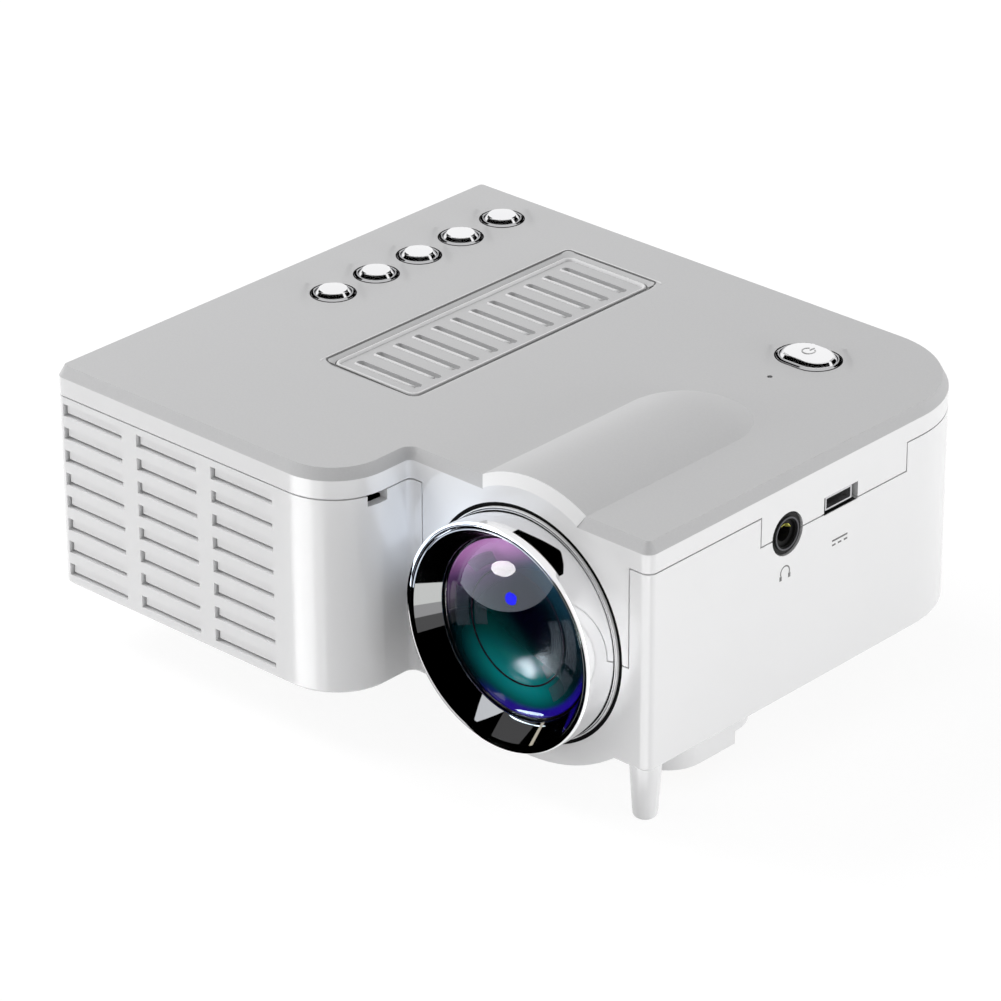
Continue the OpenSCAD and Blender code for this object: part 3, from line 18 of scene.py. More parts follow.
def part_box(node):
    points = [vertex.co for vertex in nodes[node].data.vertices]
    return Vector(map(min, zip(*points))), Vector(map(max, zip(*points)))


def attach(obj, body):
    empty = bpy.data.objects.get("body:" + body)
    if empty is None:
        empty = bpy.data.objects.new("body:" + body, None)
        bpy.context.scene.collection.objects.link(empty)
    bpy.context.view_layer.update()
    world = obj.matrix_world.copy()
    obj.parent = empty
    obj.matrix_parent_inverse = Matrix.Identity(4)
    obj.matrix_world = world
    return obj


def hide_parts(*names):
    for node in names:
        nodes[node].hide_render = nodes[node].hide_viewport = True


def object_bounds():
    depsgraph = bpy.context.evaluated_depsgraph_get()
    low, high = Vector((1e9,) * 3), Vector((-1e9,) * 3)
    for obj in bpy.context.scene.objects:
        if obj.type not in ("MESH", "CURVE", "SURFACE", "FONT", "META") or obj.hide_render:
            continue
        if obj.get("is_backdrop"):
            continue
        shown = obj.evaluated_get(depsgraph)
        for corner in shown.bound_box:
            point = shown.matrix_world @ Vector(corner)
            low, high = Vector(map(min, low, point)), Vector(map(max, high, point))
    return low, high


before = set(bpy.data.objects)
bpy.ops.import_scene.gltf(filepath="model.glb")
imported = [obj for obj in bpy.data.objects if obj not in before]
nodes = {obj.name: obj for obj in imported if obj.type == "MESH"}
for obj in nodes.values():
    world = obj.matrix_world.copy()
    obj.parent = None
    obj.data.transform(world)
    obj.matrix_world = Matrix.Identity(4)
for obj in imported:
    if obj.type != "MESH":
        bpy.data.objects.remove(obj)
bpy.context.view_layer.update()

MM = 0.001

# %% [markdown]
# ## The camera
#
# The photograph is a product shot through a long lens: the object's vertical
# edges stay nearly parallel. The camera stands 43 degrees round to the right of
# the lens side and looks down by 27 degrees. Its three axes are built from those
# two angles, then turned a hair about the line of sight.

# %% Camera
CAMERA_PLACE = np.array([0.5854, -0.6397, 0.4673])
TURN, RISE, ROLL = np.radians([42.77, 26.83, -0.21])
toward_camera = np.array([math.cos(RISE) * math.sin(TURN),
                          -math.cos(RISE) * math.cos(TURN), math.sin(RISE)])
level_right = np.array([math.cos(TURN), math.sin(TURN), 0.0])
level_up = np.cross(toward_camera, level_right)
camera_right = level_right * math.cos(ROLL) + level_up * math.sin(ROLL)
camera_up = level_up * math.cos(ROLL) - level_right * math.sin(ROLL)

camera = bpy.data.objects.new("camera", bpy.data.cameras.new("camera"))
bpy.context.scene.collection.objects.link(camera)
camera.data.sensor_width = 36.0
camera.data.lens = 183.69
camera.data.clip_start, camera.data.clip_end = 0.05, 20.0
camera.matrix_world = Matrix([[*row, place] for row, place in zip(
    np.column_stack([camera_right, camera_up, toward_camera]), CAMERA_PLACE)] + [[0, 0, 0, 1]])
bpy.context.scene.camera = camera
bpy.context.scene.view_settings.view_transform = "Standard"
print("camera stands", round(float(np.linalg.norm(CAMERA_PLACE)), 3), "m from the part")

# %% [markdown]
# ## Surfaces from numpy
#
# A grid of points, rows by columns, is the common form of every new piece. One
# helper joins neighbours into four-sided faces, closes the grid where it wraps
# round, welds the points that meet at a pole, and turns the faces outward.


# %% Grid to mesh
WELD = 2e-7


def grid_faces(rows, columns, wrap_rows, wrap_columns):
    """Corners (i, j), (i, j+1), (i+1, j+1), (i+1, j) of each cell, modulo the grid where it wraps."""
    i = np.arange(rows if wrap_rows else rows - 1)[:, None]
    j = np.arange(columns if wrap_columns else columns - 1)[None, :]
    up, along = (i + 1) % rows, (j + 1) % columns
    corners = [i * columns + j, i * columns + along, up * columns + along, up * columns + j]
    return np.stack([np.broadcast_to(c, (len(i), j.shape[1])) for c in corners], -1).reshape(-1, 4)


def shell(name, grids, wrap_rows=False, wrap_columns=True, closed=True):
    """One object from point grids shaped (rows, columns, 3); points within WELD metres become one."""
    points, faces, start = [], [], 0
    for grid in grids:
        rows, columns = grid.shape[:2]
        points.append(grid.reshape(-1, 3))
        faces.append(grid_faces(rows, columns, wrap_rows, wrap_columns) + start)
        start += rows * columns
    points = np.vstack(points)
    keys = np.round(points / WELD).astype(np.int64)
    _, first, where = np.unique(keys, axis=0, return_index=True, return_inverse=True)
    faces = where.reshape(-1)[np.vstack(faces)]
    loops, starts, sizes = tidy_faces(faces)
    mesh = bpy.data.meshes.new(name)
    mesh.vertices.add(len(first))
    mesh.vertices.foreach_set("co", points[first].astype(np.float32).ravel())
    mesh.loops.add(len(loops))
    mesh.loops.foreach_set("vertex_index", loops)
    mesh.polygons.add(len(starts))
    mesh.polygons.foreach_set("loop_start", starts)
    mesh.polygons.foreach_set("loop_total", sizes)
    mesh.polygons.foreach_set("use_smooth", np.ones(len(starts), bool))
    mesh.update(calc_edges=True)
    mesh.validate()
    if closed:
        face_outward(mesh)
    piece = bpy.data.objects.new(name, mesh)
    bpy.context.scene.collection.objects.link(piece)
    return piece


def tidy_faces(faces):
    """Drops corners that welding made equal to the one before, and faces left with fewer than three."""
    keep = faces != np.roll(faces, 1, axis=1)
    sizes = keep.sum(1)
    good = sizes >= 3
    sizes = sizes[good]
    return faces[good][keep[good]], np.r_[0, np.cumsum(sizes)[:-1]], sizes


def face_outward(mesh):
    """Turns a closed mesh's faces out: the volume they bound must come out above zero."""
    work = bmesh.new()
    work.from_mesh(mesh)
    bmesh.ops.recalc_face_normals(work, faces=work.faces)
    if work.calc_volume(signed=True) < 0:
        bmesh.ops.reverse_faces(work, faces=work.faces)
    work.to_mesh(mesh)
    work.free()


def even_shading(piece):
    """Weights each corner's normal by face size, so that flats stay flat beside small rounded edges."""
    piece.modifiers.new("even shading", "WEIGHTED_NORMAL").keep_sharp = True
    return piece


def settle(piece, look, body, instead_of=None):
    """Gives a piece its finish, the body it rides on, and the CAD node whose place it takes."""
    piece.data.materials.append(look)
    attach(piece, body)
    if instead_of:
        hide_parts(instead_of)


# %% [markdown]
# ## Turned profiles
#
# A lathe part is a profile carried once round an axis. Real edges are never
# sharp, so each corner of the profile is first replaced by a small curve: a
# point slides from one side of the corner to the other while the corner pulls
# on it, which is the quadratic blend of the three points.


# %% Profiles and lathes
def eased(corners, cut, steps=5, closed=True):
    """Rounds a polyline's corners by one cut, or one for each.

    With A and B that far before and after corner C, the curve is (1-s)^2 A + 2s(1-s) C + s^2 B.
    """
    c = np.asarray(corners, float)
    cut = np.broadcast_to(np.asarray(cut, float), (len(c),)).copy()
    before, after = np.roll(c, 1, 0) - c, np.roll(c, -1, 0) - c
    if not closed:
        cut[[0, -1]] = 0
    reach = np.minimum(np.hypot(*before.T), np.hypot(*after.T)) * 0.48
    cut = np.minimum(cut, reach)[:, None]
    a = c + before / np.hypot(*before.T)[:, None] * cut
    b = c + after / np.hypot(*after.T)[:, None] * cut
    s = np.linspace(0, 1, steps)[None, :, None]
    curve = (1 - s) ** 2 * a[:, None] + 2 * s * (1 - s) * c[:, None] + s ** 2 * b[:, None]
    return curve.reshape(-1, 2)


def turned(profile, place, sides=180):
    """Carries a profile of (r, t) round its axis: at angle a the point is place(r cos a, r sin a, t)."""
    a = np.linspace(0, 2 * np.pi, sides, endpoint=False)
    r, t = np.asarray(profile, float).T[:, :, None]
    return place(r * np.cos(a), r * np.sin(a), t + 0 * a)


LENS_X, LENS_Z, RIM_Y = 0.0364, 0.0310, -0.0477


def on_lens(u, w, t):
    """The lens axis frame, in mm: u to the right, w up, t into the case from the ring's rim."""
    return np.stack(np.broadcast_arrays(LENS_X + u * MM, RIM_Y + t * MM, LENS_Z + w * MM), -1)


def upright(x, y):
    """A frame for pieces that stand on the top face at (x, y) in metres, heights in mm."""
    return lambda u, w, t: np.stack(np.broadcast_arrays(x + u * MM, y + w * MM, t * MM), -1)


def turned_ring(name, profile, cut, places=(on_lens,), sides=256):
    """One piece from a closed profile with eased corners, turned about each of its axes."""
    grids = [turned(eased(profile, cut), place, sides) for place in places]
    return even_shading(shell(name, grids, wrap_rows=True))


print("a lathe ring of 6 x 180 points has", len(grid_faces(6, 180, True, True)), "faces")

# %% [markdown]
# ## Finishes
#
# Every finish is a small node graph on Object coordinates, so it stays fixed to
# the part. Three things make moulded plastic or metal look real: a slow drift
# in colour, a fine grain that tips the surface, and a gloss that is not quite
# the same everywhere. One builder gives all of them, and the special finishes
# add their own pattern to it.


# %% Node helpers
def put(tree, kind, sockets=None, out=0, **settings):
    """Adds a shader node, fills or links its sockets, and returns one of its outputs."""
    made = tree.nodes.new("ShaderNode" + kind)
    for name, value in settings.items():
        setattr(made, name, value)
    for name, value in (sockets or {}).items():
        if isinstance(value, bpy.types.NodeSocket):
            tree.links.new(value, made.inputs[name])
        else:
            made.inputs[name].default_value = value
    return made.outputs[out]


def place_of(tree, stretch=(1, 1, 1), centre=(0, 0, 0), turn=(0, 0, 0)):
    """Object coordinates, moved to a centre in metres, turned, and stretched along each axis."""
    spot = put(tree, "TexCoord", out="Object")
    spot = put(tree, "VectorMath", {0: spot, 1: centre}, operation="SUBTRACT")
    return put(tree, "Mapping", {"Vector": spot, "Rotation": turn, "Scale": stretch}, vector_type="POINT")


def axes_of(tree, spot=None):
    """The X, Y and Z of a point, or of Object coordinates when none is given."""
    if spot is None:
        spot = put(tree, "TexCoord", out="Object")
    return [put(tree, "SeparateXYZ", {0: spot}, out=axis) for axis in "XYZ"]


def ramp(tree, value, low, high, to_low=0.0, to_high=1.0, smooth=True):
    """A value carried from the span low..high to the span to_low..to_high, eased at both ends."""
    return put(tree, "MapRange", {"Value": value, "From Min": low, "From Max": high,
                                  "To Min": to_low, "To Max": to_high}, clamp=True,
               interpolation_type="SMOOTHSTEP" if smooth else "LINEAR")


def sums(tree, how, a, b, c=0.0):
    """One arithmetic node."""
    return put(tree, "Math", {0: a, 1: b, 2: c}, operation=how)


def blend(tree, share, a, b):
    """Two colours mixed by a share from 0 to 1."""
    made = tree.nodes.new("ShaderNodeMix")
    made.data_type = "RGBA"
    for socket, value in zip((made.inputs[0], made.inputs[6], made.inputs[7]), (share, a, b)):
        if isinstance(value, bpy.types.NodeSocket):
            tree.links.new(value, socket)
        else:
            socket.default_value = value
    return made.outputs[2]


def rgb(r, g=None, b=None):
    """A linear colour; one number gives a grey."""
    return (r, r if g is None else g, r if b is None else b, 1.0)


def bare_material(name):
    """A material to build by hand: it, its tree, and the socket that its last node goes to."""
    made = bpy.data.materials.new(name)
    made.use_nodes = True
    tree = made.node_tree
    tree.nodes.remove(tree.nodes["Principled BSDF"])
    return made, tree, tree.nodes["Material Output"].inputs["Surface"]


# %% The finish builder
def finish(name, colour, rough=0.35, spread=0.06, metal=0.0, grain=1500.0, depth=0.05,
           drift=0.03, edge=0.0, coat=0.0, pattern=None, **shader):
    """Colour drifts by a share of itself, gloss by spread, and so many grains a metre tip the surface."""
    made = bpy.data.materials.new(name)
    made.use_nodes = True
    tree = made.node_tree
    body = tree.nodes["Principled BSDF"]
    where = place_of(tree)
    slow = put(tree, "TexNoise", {"Vector": where, "Scale": 55.0, "Detail": 3.0})
    fine = put(tree, "TexNoise", {"Vector": where, "Scale": grain, "Detail": 4.0, "Roughness": 0.6})
    darker = tuple(v * (1 - drift) for v in colour[:3]) + (1.0,)
    shade = blend(tree, ramp(tree, slow, 0.35, 0.65), darker, colour)
    gloss = ramp(tree, sums(tree, "MULTIPLY_ADD", fine, 0.5, sums(tree, "MULTIPLY", slow, 0.5)),
                 0.35, 0.65, rough - spread / 2, rough + spread / 2)
    height = fine
    if pattern:
        shade, gloss, height = pattern(tree, shade, gloss, height)
    normal = {"Height": height, "Strength": depth, "Distance": 0.0002}
    if edge:
        normal["Normal"] = put(tree, "Bevel", {"Radius": edge}, samples=4)
    tree.links.new(put(tree, "Bump", normal), body.inputs["Normal"])
    tree.links.new(shade, body.inputs["Base Color"])
    tree.links.new(gloss, body.inputs["Roughness"])
    body.inputs["Metallic"].default_value = metal
    body.inputs["Coat Weight"].default_value = coat
    for socket, value in shader.items():
        body.inputs[socket.replace("_", " ")].default_value = value
    return made


# %% [markdown]
# ## Case and cover plastic
#
# The case is gloss white. The cover is the same white moulding all over; its
# top is matte and painted grey from where the sloped edge begins, a painted shade
# for the weaker light that falls on it. The top's texture is spark-eroded: a fine,
# even pitting that only shows close up. One mask on height does both, so the line
# between them follows the edge. The dome's front collar stays white: it is the
# wedge between two planes that run from the dome's axis. The power inlet's notch
# is painted black inside, a painted shade for its shadowed walls.

# %% Plastics
CASE_WHITE = rgb(0.86, 0.86, 0.865)
# Painted shade: the grey that stands in for the weaker light on the cover's white top.
TOP_PAINTED_SHADE = rgb(0.545, 0.545, 0.55)
EDGE_START, EDGE_END = 0.05475, 0.05490
DOME_X, DOME_AXIS_Z, DOME_WEDGE, COLLAR_Y = 0.0375, 0.0350, 0.568, -0.03855
# The inlet notch's box: inside it the plastic is painted black, a painted shade.
NOTCH = ((0.0600, 0.0082, 0.0444), (0.06585, 0.0180, 0.0486))


def within(tree, low, high):
    """1 inside a box and 0 outside: the product of six comparisons on Object coordinates."""
    share = 1.0
    for spot, least, most in zip(axes_of(tree), low, high):
        share = sums(tree, "MULTIPLY", share, sums(tree, "GREATER_THAN", spot, least))
        share = sums(tree, "MULTIPLY", share, sums(tree, "LESS_THAN", spot, most))
    return share


def notch_painted_shade(tree, shade, gloss, height):
    """Painted shade: the inlet's notch walls coloured black, as if in shadow."""
    return blend(tree, within(tree, *NOTCH), shade, rgb(0.012)), gloss, height


def collar_mask(tree):
    """1 on the dome's front collar: forward of its edge, where |x - xd| is below (z - za) k."""
    x, y, z = axes_of(tree)
    half = sums(tree, "MULTIPLY", sums(tree, "SUBTRACT", z, DOME_AXIS_Z), DOME_WEDGE)
    across = sums(tree, "ABSOLUTE", sums(tree, "SUBTRACT", x, DOME_X), 0)
    return sums(tree, "MULTIPLY", sums(tree, "LESS_THAN", across, half),
                sums(tree, "LESS_THAN", y, COLLAR_Y))


def cover_painted_top_shade(tree, shade, gloss, height):
    """Height picks the finish: white and glossy below the sloped edge; above it matte, and grey as painted
    shade for the weaker light on the top.
    """
    top = sums(tree, "MULTIPLY", ramp(tree, axes_of(tree)[2], EDGE_START, EDGE_END),
               sums(tree, "SUBTRACT", 1.0, collar_mask(tree)))
    pits = put(tree, "TexVoronoi", {"Vector": place_of(tree), "Scale": 4200.0}, out="Distance")
    fleck = put(tree, "TexNoise", {"Vector": place_of(tree), "Scale": 2600.0, "Detail": 2.0})
    grey = blend(tree, ramp(tree, fleck, 0.3, 0.7), rgb(0.53, 0.53, 0.535), TOP_PAINTED_SHADE)
    shade = blend(tree, top, shade, grey)
    shade = notch_painted_shade(tree, shade, gloss, height)[0]
    gloss = sums(tree, "ADD", gloss, ramp(tree, top, 0, 1, 0.0, 0.24))
    return shade, gloss, sums(tree, "MULTIPLY_ADD", pits, sums(tree, "MULTIPLY", top, 1.6), height)


case_white = finish("case_white_gloss", CASE_WHITE, rough=0.24, spread=0.03, grain=1800.0,
                    depth=0.008, drift=0.008, pattern=notch_painted_shade)
# The cover: the case's white, with its top painted grey as shade.
cover_plastic_painted_top = finish("cover_white_painted_top_shade", CASE_WHITE, rough=0.24, spread=0.03, grain=1800.0,
                       depth=0.02, drift=0.008, pattern=cover_painted_top_shade)
print("two plastics made")

# %% [markdown]
# ## Metals
#
# The ring and the keys are chrome plate, so they show whatever stands around
# them. The hood inside the ring is black chrome: the same mirror, but dark.

# %% Plated metals
chrome = finish("bright_chrome", rgb(0.88, 0.88, 0.89), rough=0.07, spread=0.03, metal=1.0,
                grain=700.0, depth=0.012, drift=0.02)
key_chrome = finish("key_chrome", rgb(0.90, 0.90, 0.91), rough=0.12, spread=0.03, metal=1.0,
                    grain=900.0, depth=0.015, drift=0.02)
black_chrome = finish("black_chrome", rgb(0.36, 0.36, 0.37), rough=0.09, spread=0.03, metal=1.0,
                      grain=600.0, depth=0.015, drift=0.05)


def brushed_lines(tree, shade, gloss, height):
    """Fine parallel scratches: a noise drawn out a hundred times along the height."""
    lines = put(tree, "TexNoise", {"Vector": place_of(tree, (4000, 4000, 40)), "Scale": 1.0,
                                   "Detail": 2.0})
    return shade, sums(tree, "MULTIPLY_ADD", lines, 0.12, gloss), lines


def turned_lines(tree, shade, gloss, height):
    """Lathe marks: rings of a sine wave along the part's depth."""
    lines = put(tree, "TexWave", {"Vector": place_of(tree, (0, 2600, 0)), "Scale": 1.0},
                wave_type="BANDS", bands_direction="Y")
    return shade, gloss, sums(tree, "MULTIPLY_ADD", lines, 0.4, height)


steel = finish("bright_steel", rgb(0.62, 0.62, 0.64), rough=0.22, metal=1.0, grain=2500.0,
               depth=0.05, pattern=brushed_lines)
brass = finish("turned_brass", rgb(0.72, 0.50, 0.22), rough=0.24, metal=1.0, depth=0.08,
               pattern=turned_lines)
aluminium = finish("extruded_aluminium", rgb(0.60, 0.61, 0.63), rough=0.38, metal=1.0,
                   grain=3000.0, depth=0.12, pattern=brushed_lines)
mirror = finish("front_silvered_mirror", rgb(0.90, 0.91, 0.92), rough=0.02, spread=0.01, metal=1.0,
                depth=0.002, drift=0.01)
print("plates and metals made")

# %% [markdown]
# ## What is inside
#
# The inner pieces are seldom seen, but they stay in the model, so each has the
# finish of the real thing: solder mask with tracks under it, foam with open
# cells, film, rubber leads, a phosphor dome and a glass panel.


# %% Inner finishes
def track_pattern(tree, shade, gloss, height):
    """Copper tracks under green lacquer: a brick pattern's mortar, lighter and slightly raised."""
    bricks = put(tree, "TexBrick", {"Vector": place_of(tree, turn=(0, 0, 0.785)), "Scale": 260.0,
                                    "Mortar Size": 0.09, "Mortar Smooth": 0.2}, out="Fac")
    pads = put(tree, "TexVoronoi", {"Vector": place_of(tree), "Scale": 420.0}, out="Distance")
    pad = ramp(tree, pads, 0.20, 0.24, 1.0, 0.0)
    shade = blend(tree, sums(tree, "MULTIPLY", bricks, 0.7), shade, rgb(0.05, 0.30, 0.12))
    shade = blend(tree, sums(tree, "MULTIPLY", pad, 0.8), shade, rgb(0.62, 0.60, 0.52))
    return shade, gloss, sums(tree, "MULTIPLY_ADD", bricks, 0.8, height)


def cell_pattern(tree, shade, gloss, height):
    """Open cells: the distance to the nearest cell centre is the foam's height, and the colour darkens
    towards each centre, painted shade in the cells' hollows.
    """
    cells = put(tree, "TexVoronoi", {"Vector": place_of(tree), "Scale": 2200.0}, out="Distance")
    return blend(tree, ramp(tree, cells, 0.1, 0.6), rgb(0.015), shade), gloss, cells


def film_pattern(tree, shade, gloss, height):
    """Thin parallel conductors showing through amber film."""
    lines = put(tree, "TexWave", {"Vector": place_of(tree), "Scale": 420.0},
                wave_type="BANDS", bands_direction="Z")
    return blend(tree, ramp(tree, lines, 0.45, 0.55), shade, rgb(0.42, 0.22, 0.05)), gloss, lines


def pixel_pattern(tree, shade, gloss, height):
    """A fine square grid, as of a liquid crystal cell."""
    grid = put(tree, "TexBrick", {"Vector": place_of(tree, turn=(0, 1.5708, 0)), "Scale": 1500.0,
                                  "Mortar Size": 0.06}, offset=0.0, out="Fac")
    return blend(tree, grid, shade, rgb(0.02)), gloss, height


black_plastic = finish("black_moulded_plastic", rgb(0.010), rough=0.42, grain=3200.0, depth=0.1,
                       drift=0.2, Specular_IOR_Level=0.18)
board_green = finish("solder_mask", rgb(0.02, 0.13, 0.05), rough=0.32, depth=0.25, drift=0.1,
                     pattern=track_pattern)
foam = finish("open_foam", rgb(0.05), rough=0.92, spread=0.05, grain=5000.0, depth=0.8,
              pattern=cell_pattern)
amber_film = finish("amber_film", rgb(0.50, 0.25, 0.05), rough=0.28, depth=0.08, pattern=film_pattern)
led_yellow = finish("phosphor_dome", rgb(0.88, 0.62, 0.08), rough=0.18, coat=0.6, depth=0.04)
lead_red = finish("red_lead", rgb(0.42, 0.012, 0.01), rough=0.42, grain=2600.0, depth=0.1)
lead_black = finish("black_lead", rgb(0.015), rough=0.45, grain=2600.0, depth=0.1, drift=0.2)
panel_dark = finish("crystal_panel", rgb(0.014, 0.016, 0.028), rough=0.12, coat=0.5, depth=0.02,
                    pattern=pixel_pattern)
clear_glass = finish("inner_glass", rgb(0.85, 0.93, 0.95), rough=0.02, spread=0.01, depth=0.002,
                     drift=0.01, IOR=1.5, Transmission_Weight=1.0)
by_slot = {
    "cover_grey": cover_plastic_painted_top, "case_white": case_white, "chrome": chrome,
    "black_chrome": black_chrome, "coated_glass": clear_glass, "clear_glass": clear_glass,
    "black_plastic": black_plastic, "brass": brass, "steel": steel, "board_green": board_green,
    "aluminium": aluminium, "amber_film": amber_film, "led_yellow": led_yellow, "foam": foam,
    "mirror": mirror, "lead_red": lead_red, "lead_black": lead_black, "panel_dark": panel_dark,
}
for solid in nodes.values():
    for held in solid.material_slots:
        held.material = by_slot[held.material.name.split(".")[0]]
print(len(by_slot), "slots painted on", len(nodes), "solids")

# %% [markdown]
# ## Sockets and their tongues
#
# Each socket is one solid in the CAD, a plated shell with a contact tongue. On
# the real one the tongue is black plastic. A mask on position picks the tongue
# out: how far a point is inside the shell's own box, along the wall and up.


# %% Socket finish
def tongue_finish(name, centre, half):
    """Plated steel, black plastic where |y - yc| and |z - zc| are both below the tongue's half sizes."""
    def pattern(tree, shade, gloss, height):
        """1 inside the tongue's two half sizes, 0 outside them."""
        along = axes_of(tree, place_of(tree, centre=centre))[1:]
        inside = sums(tree, "MULTIPLY", *(sums(tree, "LESS_THAN", sums(tree, "ABSOLUTE", spot, 0), reach)
                                          for spot, reach in zip(along, half)))
        return (blend(tree, inside, shade, rgb(0.02)), sums(tree, "MULTIPLY_ADD", inside, 0.2, gloss),
                height)

    return finish(name, rgb(0.66, 0.66, 0.68), rough=0.2, metal=0.85, grain=2500.0, depth=0.04,
                  edge=0.0001, pattern=pattern)


TONGUE_MARGIN = 0.0012
for node, rise, half_height in (("power_inlet", 0.0018, 0.00036), ("video_socket", None, 0.0008),
                                ("usb_socket", None, 0.0008)):
    low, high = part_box(node)
    middle = (low + high) / 2
    tongue_z = low.z + rise if rise else middle.z
    worn = tongue_finish(node + "_finish", (middle.x, middle.y, tongue_z),
                         ((high.y - low.y) / 2 - TONGUE_MARGIN, half_height))
    for held in nodes[node].material_slots:
        held.material = worn
print("sockets have black tongues")

# %% [markdown]
# ## The focus ring
#
# The ring is a chrome tube that the fingers turn. Its profile repeats the CAD's
# ten corners, and each corner is eased by a fraction of a millimetre so that it
# catches a thin line of light, as a plated edge does.

# %% Focus ring
RING = [(21.35, 0.45), (21.62, 0.0), (22.03, 0.0), (22.3, 0.45), (22.3, 9.9), (20.9, 9.9),
        (20.9, 8.3), (19.65, 8.3), (19.65, 5.6), (21.35, 5.6)]
RING_CUTS = [0.18, 0.16, 0.16, 0.2, 0.2, 0.15, 0.15, 0.15, 0.15, 0.15]
ring = turned_ring("focus_ring_shell", RING, RING_CUTS)
settle(ring, chrome, "focus_ring", "focus_ring")
print("focus ring:", len(ring.data.polygons), "faces")

# %% [markdown]
# ### The ring's seat
#
# Between the ring and the case runs a narrow well. A white collar stands in it
# beside the ring, and a black ring fills the rest: a painted shadow in the well,
# which draws the fine black circle round the lens.

# %% Collar and felt
COLLAR = [(22.42, 7.45), (22.60, 7.45), (22.60, 9.6), (22.42, 9.6)]
WELL_SHADOW = [(22.62, 8.0), (23.38, 8.0), (23.38, 9.6), (22.62, 9.6)]
# Black for painted shadow: it fills the ring's well and lies under the keys' surrounds.
shadow_black = finish("black_painted_shadow", rgb(0.006), rough=0.9, grain=5000.0, depth=0.3, drift=0.3,
                    Specular_IOR_Level=0.05)
settle(turned_ring("lens_collar", COLLAR, 0.04), case_white, "housing")
settle(turned_ring("lens_well_painted_shadow", WELL_SHADOW, 0.04), shadow_black, "housing")
print("a collar and a felt seat lie round the ring")

# %% [markdown]
# ## The hood
#
# Inside the ring a black chrome cone leads the eye to the glass. It is one
# closed profile, turned like the ring.

# %% Hood
HOOD = [(21.05, 0.35), (21.05, 5.35), (17.9, 5.35), (17.9, 5.0), (20.7, 0.35)]
hood = turned_ring("lens_hood_shell", HOOD, [0.1, 0.2, 0.1, 0.12, 0.1])
settle(hood, black_chrome, "lens_carriage", "lens_hood")
print("hood:", len(hood.data.polygons), "faces")

# %% [markdown]
# ## The front lens
#
# The eye sees four things in a coated lens: the mirror image of the room in its
# domed front, the colours of the coatings behind it, dark rings where the inner
# elements begin, and an upside-down image of the lamp in the hollow back face.
# So the lens is a clear domed shell over a hollow bowl whose colours are painted
# reflections of the coatings, with the segments of the inner element's holder in
# the air between them.


# %% Lens faces
def cap_depth(r, apex, curve):
    """Depth t of a ball-shaped face at radius r: apex + R - sqrt(R^2 - r^2).

    It bulges forward when R is positive and is hollow when R is negative.
    """
    rise = abs(curve) - np.sqrt(curve * curve - r * r)
    return apex + math.copysign(1, curve) * rise


def cap_profile(radius, apex, curve, rings):
    """(r, t) from the middle of a ball-shaped face out to a radius."""
    r = np.linspace(0, radius, rings)
    return np.column_stack([r, cap_depth(r, apex, curve)])


GLASS_R, GLASS_APEX, GLASS_CURVE = 17.85, 0.76, 37.0
BACK_APEX, BACK_CURVE = 2.4, 60.0
BOWL_R, BOWL_APEX, BOWL_CURVE = 17.3, 9.0, -45.0
front = cap_profile(GLASS_R - 0.2, GLASS_APEX, GLASS_CURVE, 48)
back = cap_profile(BOWL_R, BACK_APEX, BACK_CURVE, 40)[::-1]
seat = [(GLASS_R - 0.05, front[-1, 1] + 0.12), (GLASS_R, front[-1, 1] + 0.3),
        (GLASS_R, 6.1), (BOWL_R + 0.1, 6.1)]
glass = even_shading(shell("front_lens_glass",
                           [turned(np.vstack([front, seat, back]), on_lens, 192)]))

bowl_face = cap_profile(BOWL_R, BOWL_APEX, BOWL_CURVE, 60)
bowl_back = cap_profile(BOWL_R, BOWL_APEX + 0.5, BOWL_CURVE, 30)[::-1]
bowl = even_shading(shell("front_lens_coating",
                          [turned(np.vstack([bowl_face, bowl_back]), on_lens, 192)]))
print("glass", len(glass.data.polygons), "faces, bowl", len(bowl.data.polygons))

# %% [markdown]
# ### Coating colours, painted as reflections
#
# Anti-reflection layers return what they can't cancel: magenta where light
# leaves steeply, teal and blue elsewhere. Here those reflections are painted
# into the bowl's colour, near black at the middle, mixed from two measures,
# the distance from the axis and the direction round it.


# %% Coating finish
def toward(tree, spot, angle):
    """How far a point lies from the axis towards an angle, as a share of the bowl's radius."""
    a = math.radians(angle)
    return put(tree, "VectorMath", {0: spot, 1: (math.cos(a), 0, math.sin(a))},
               operation="DOT_PRODUCT", out="Value")


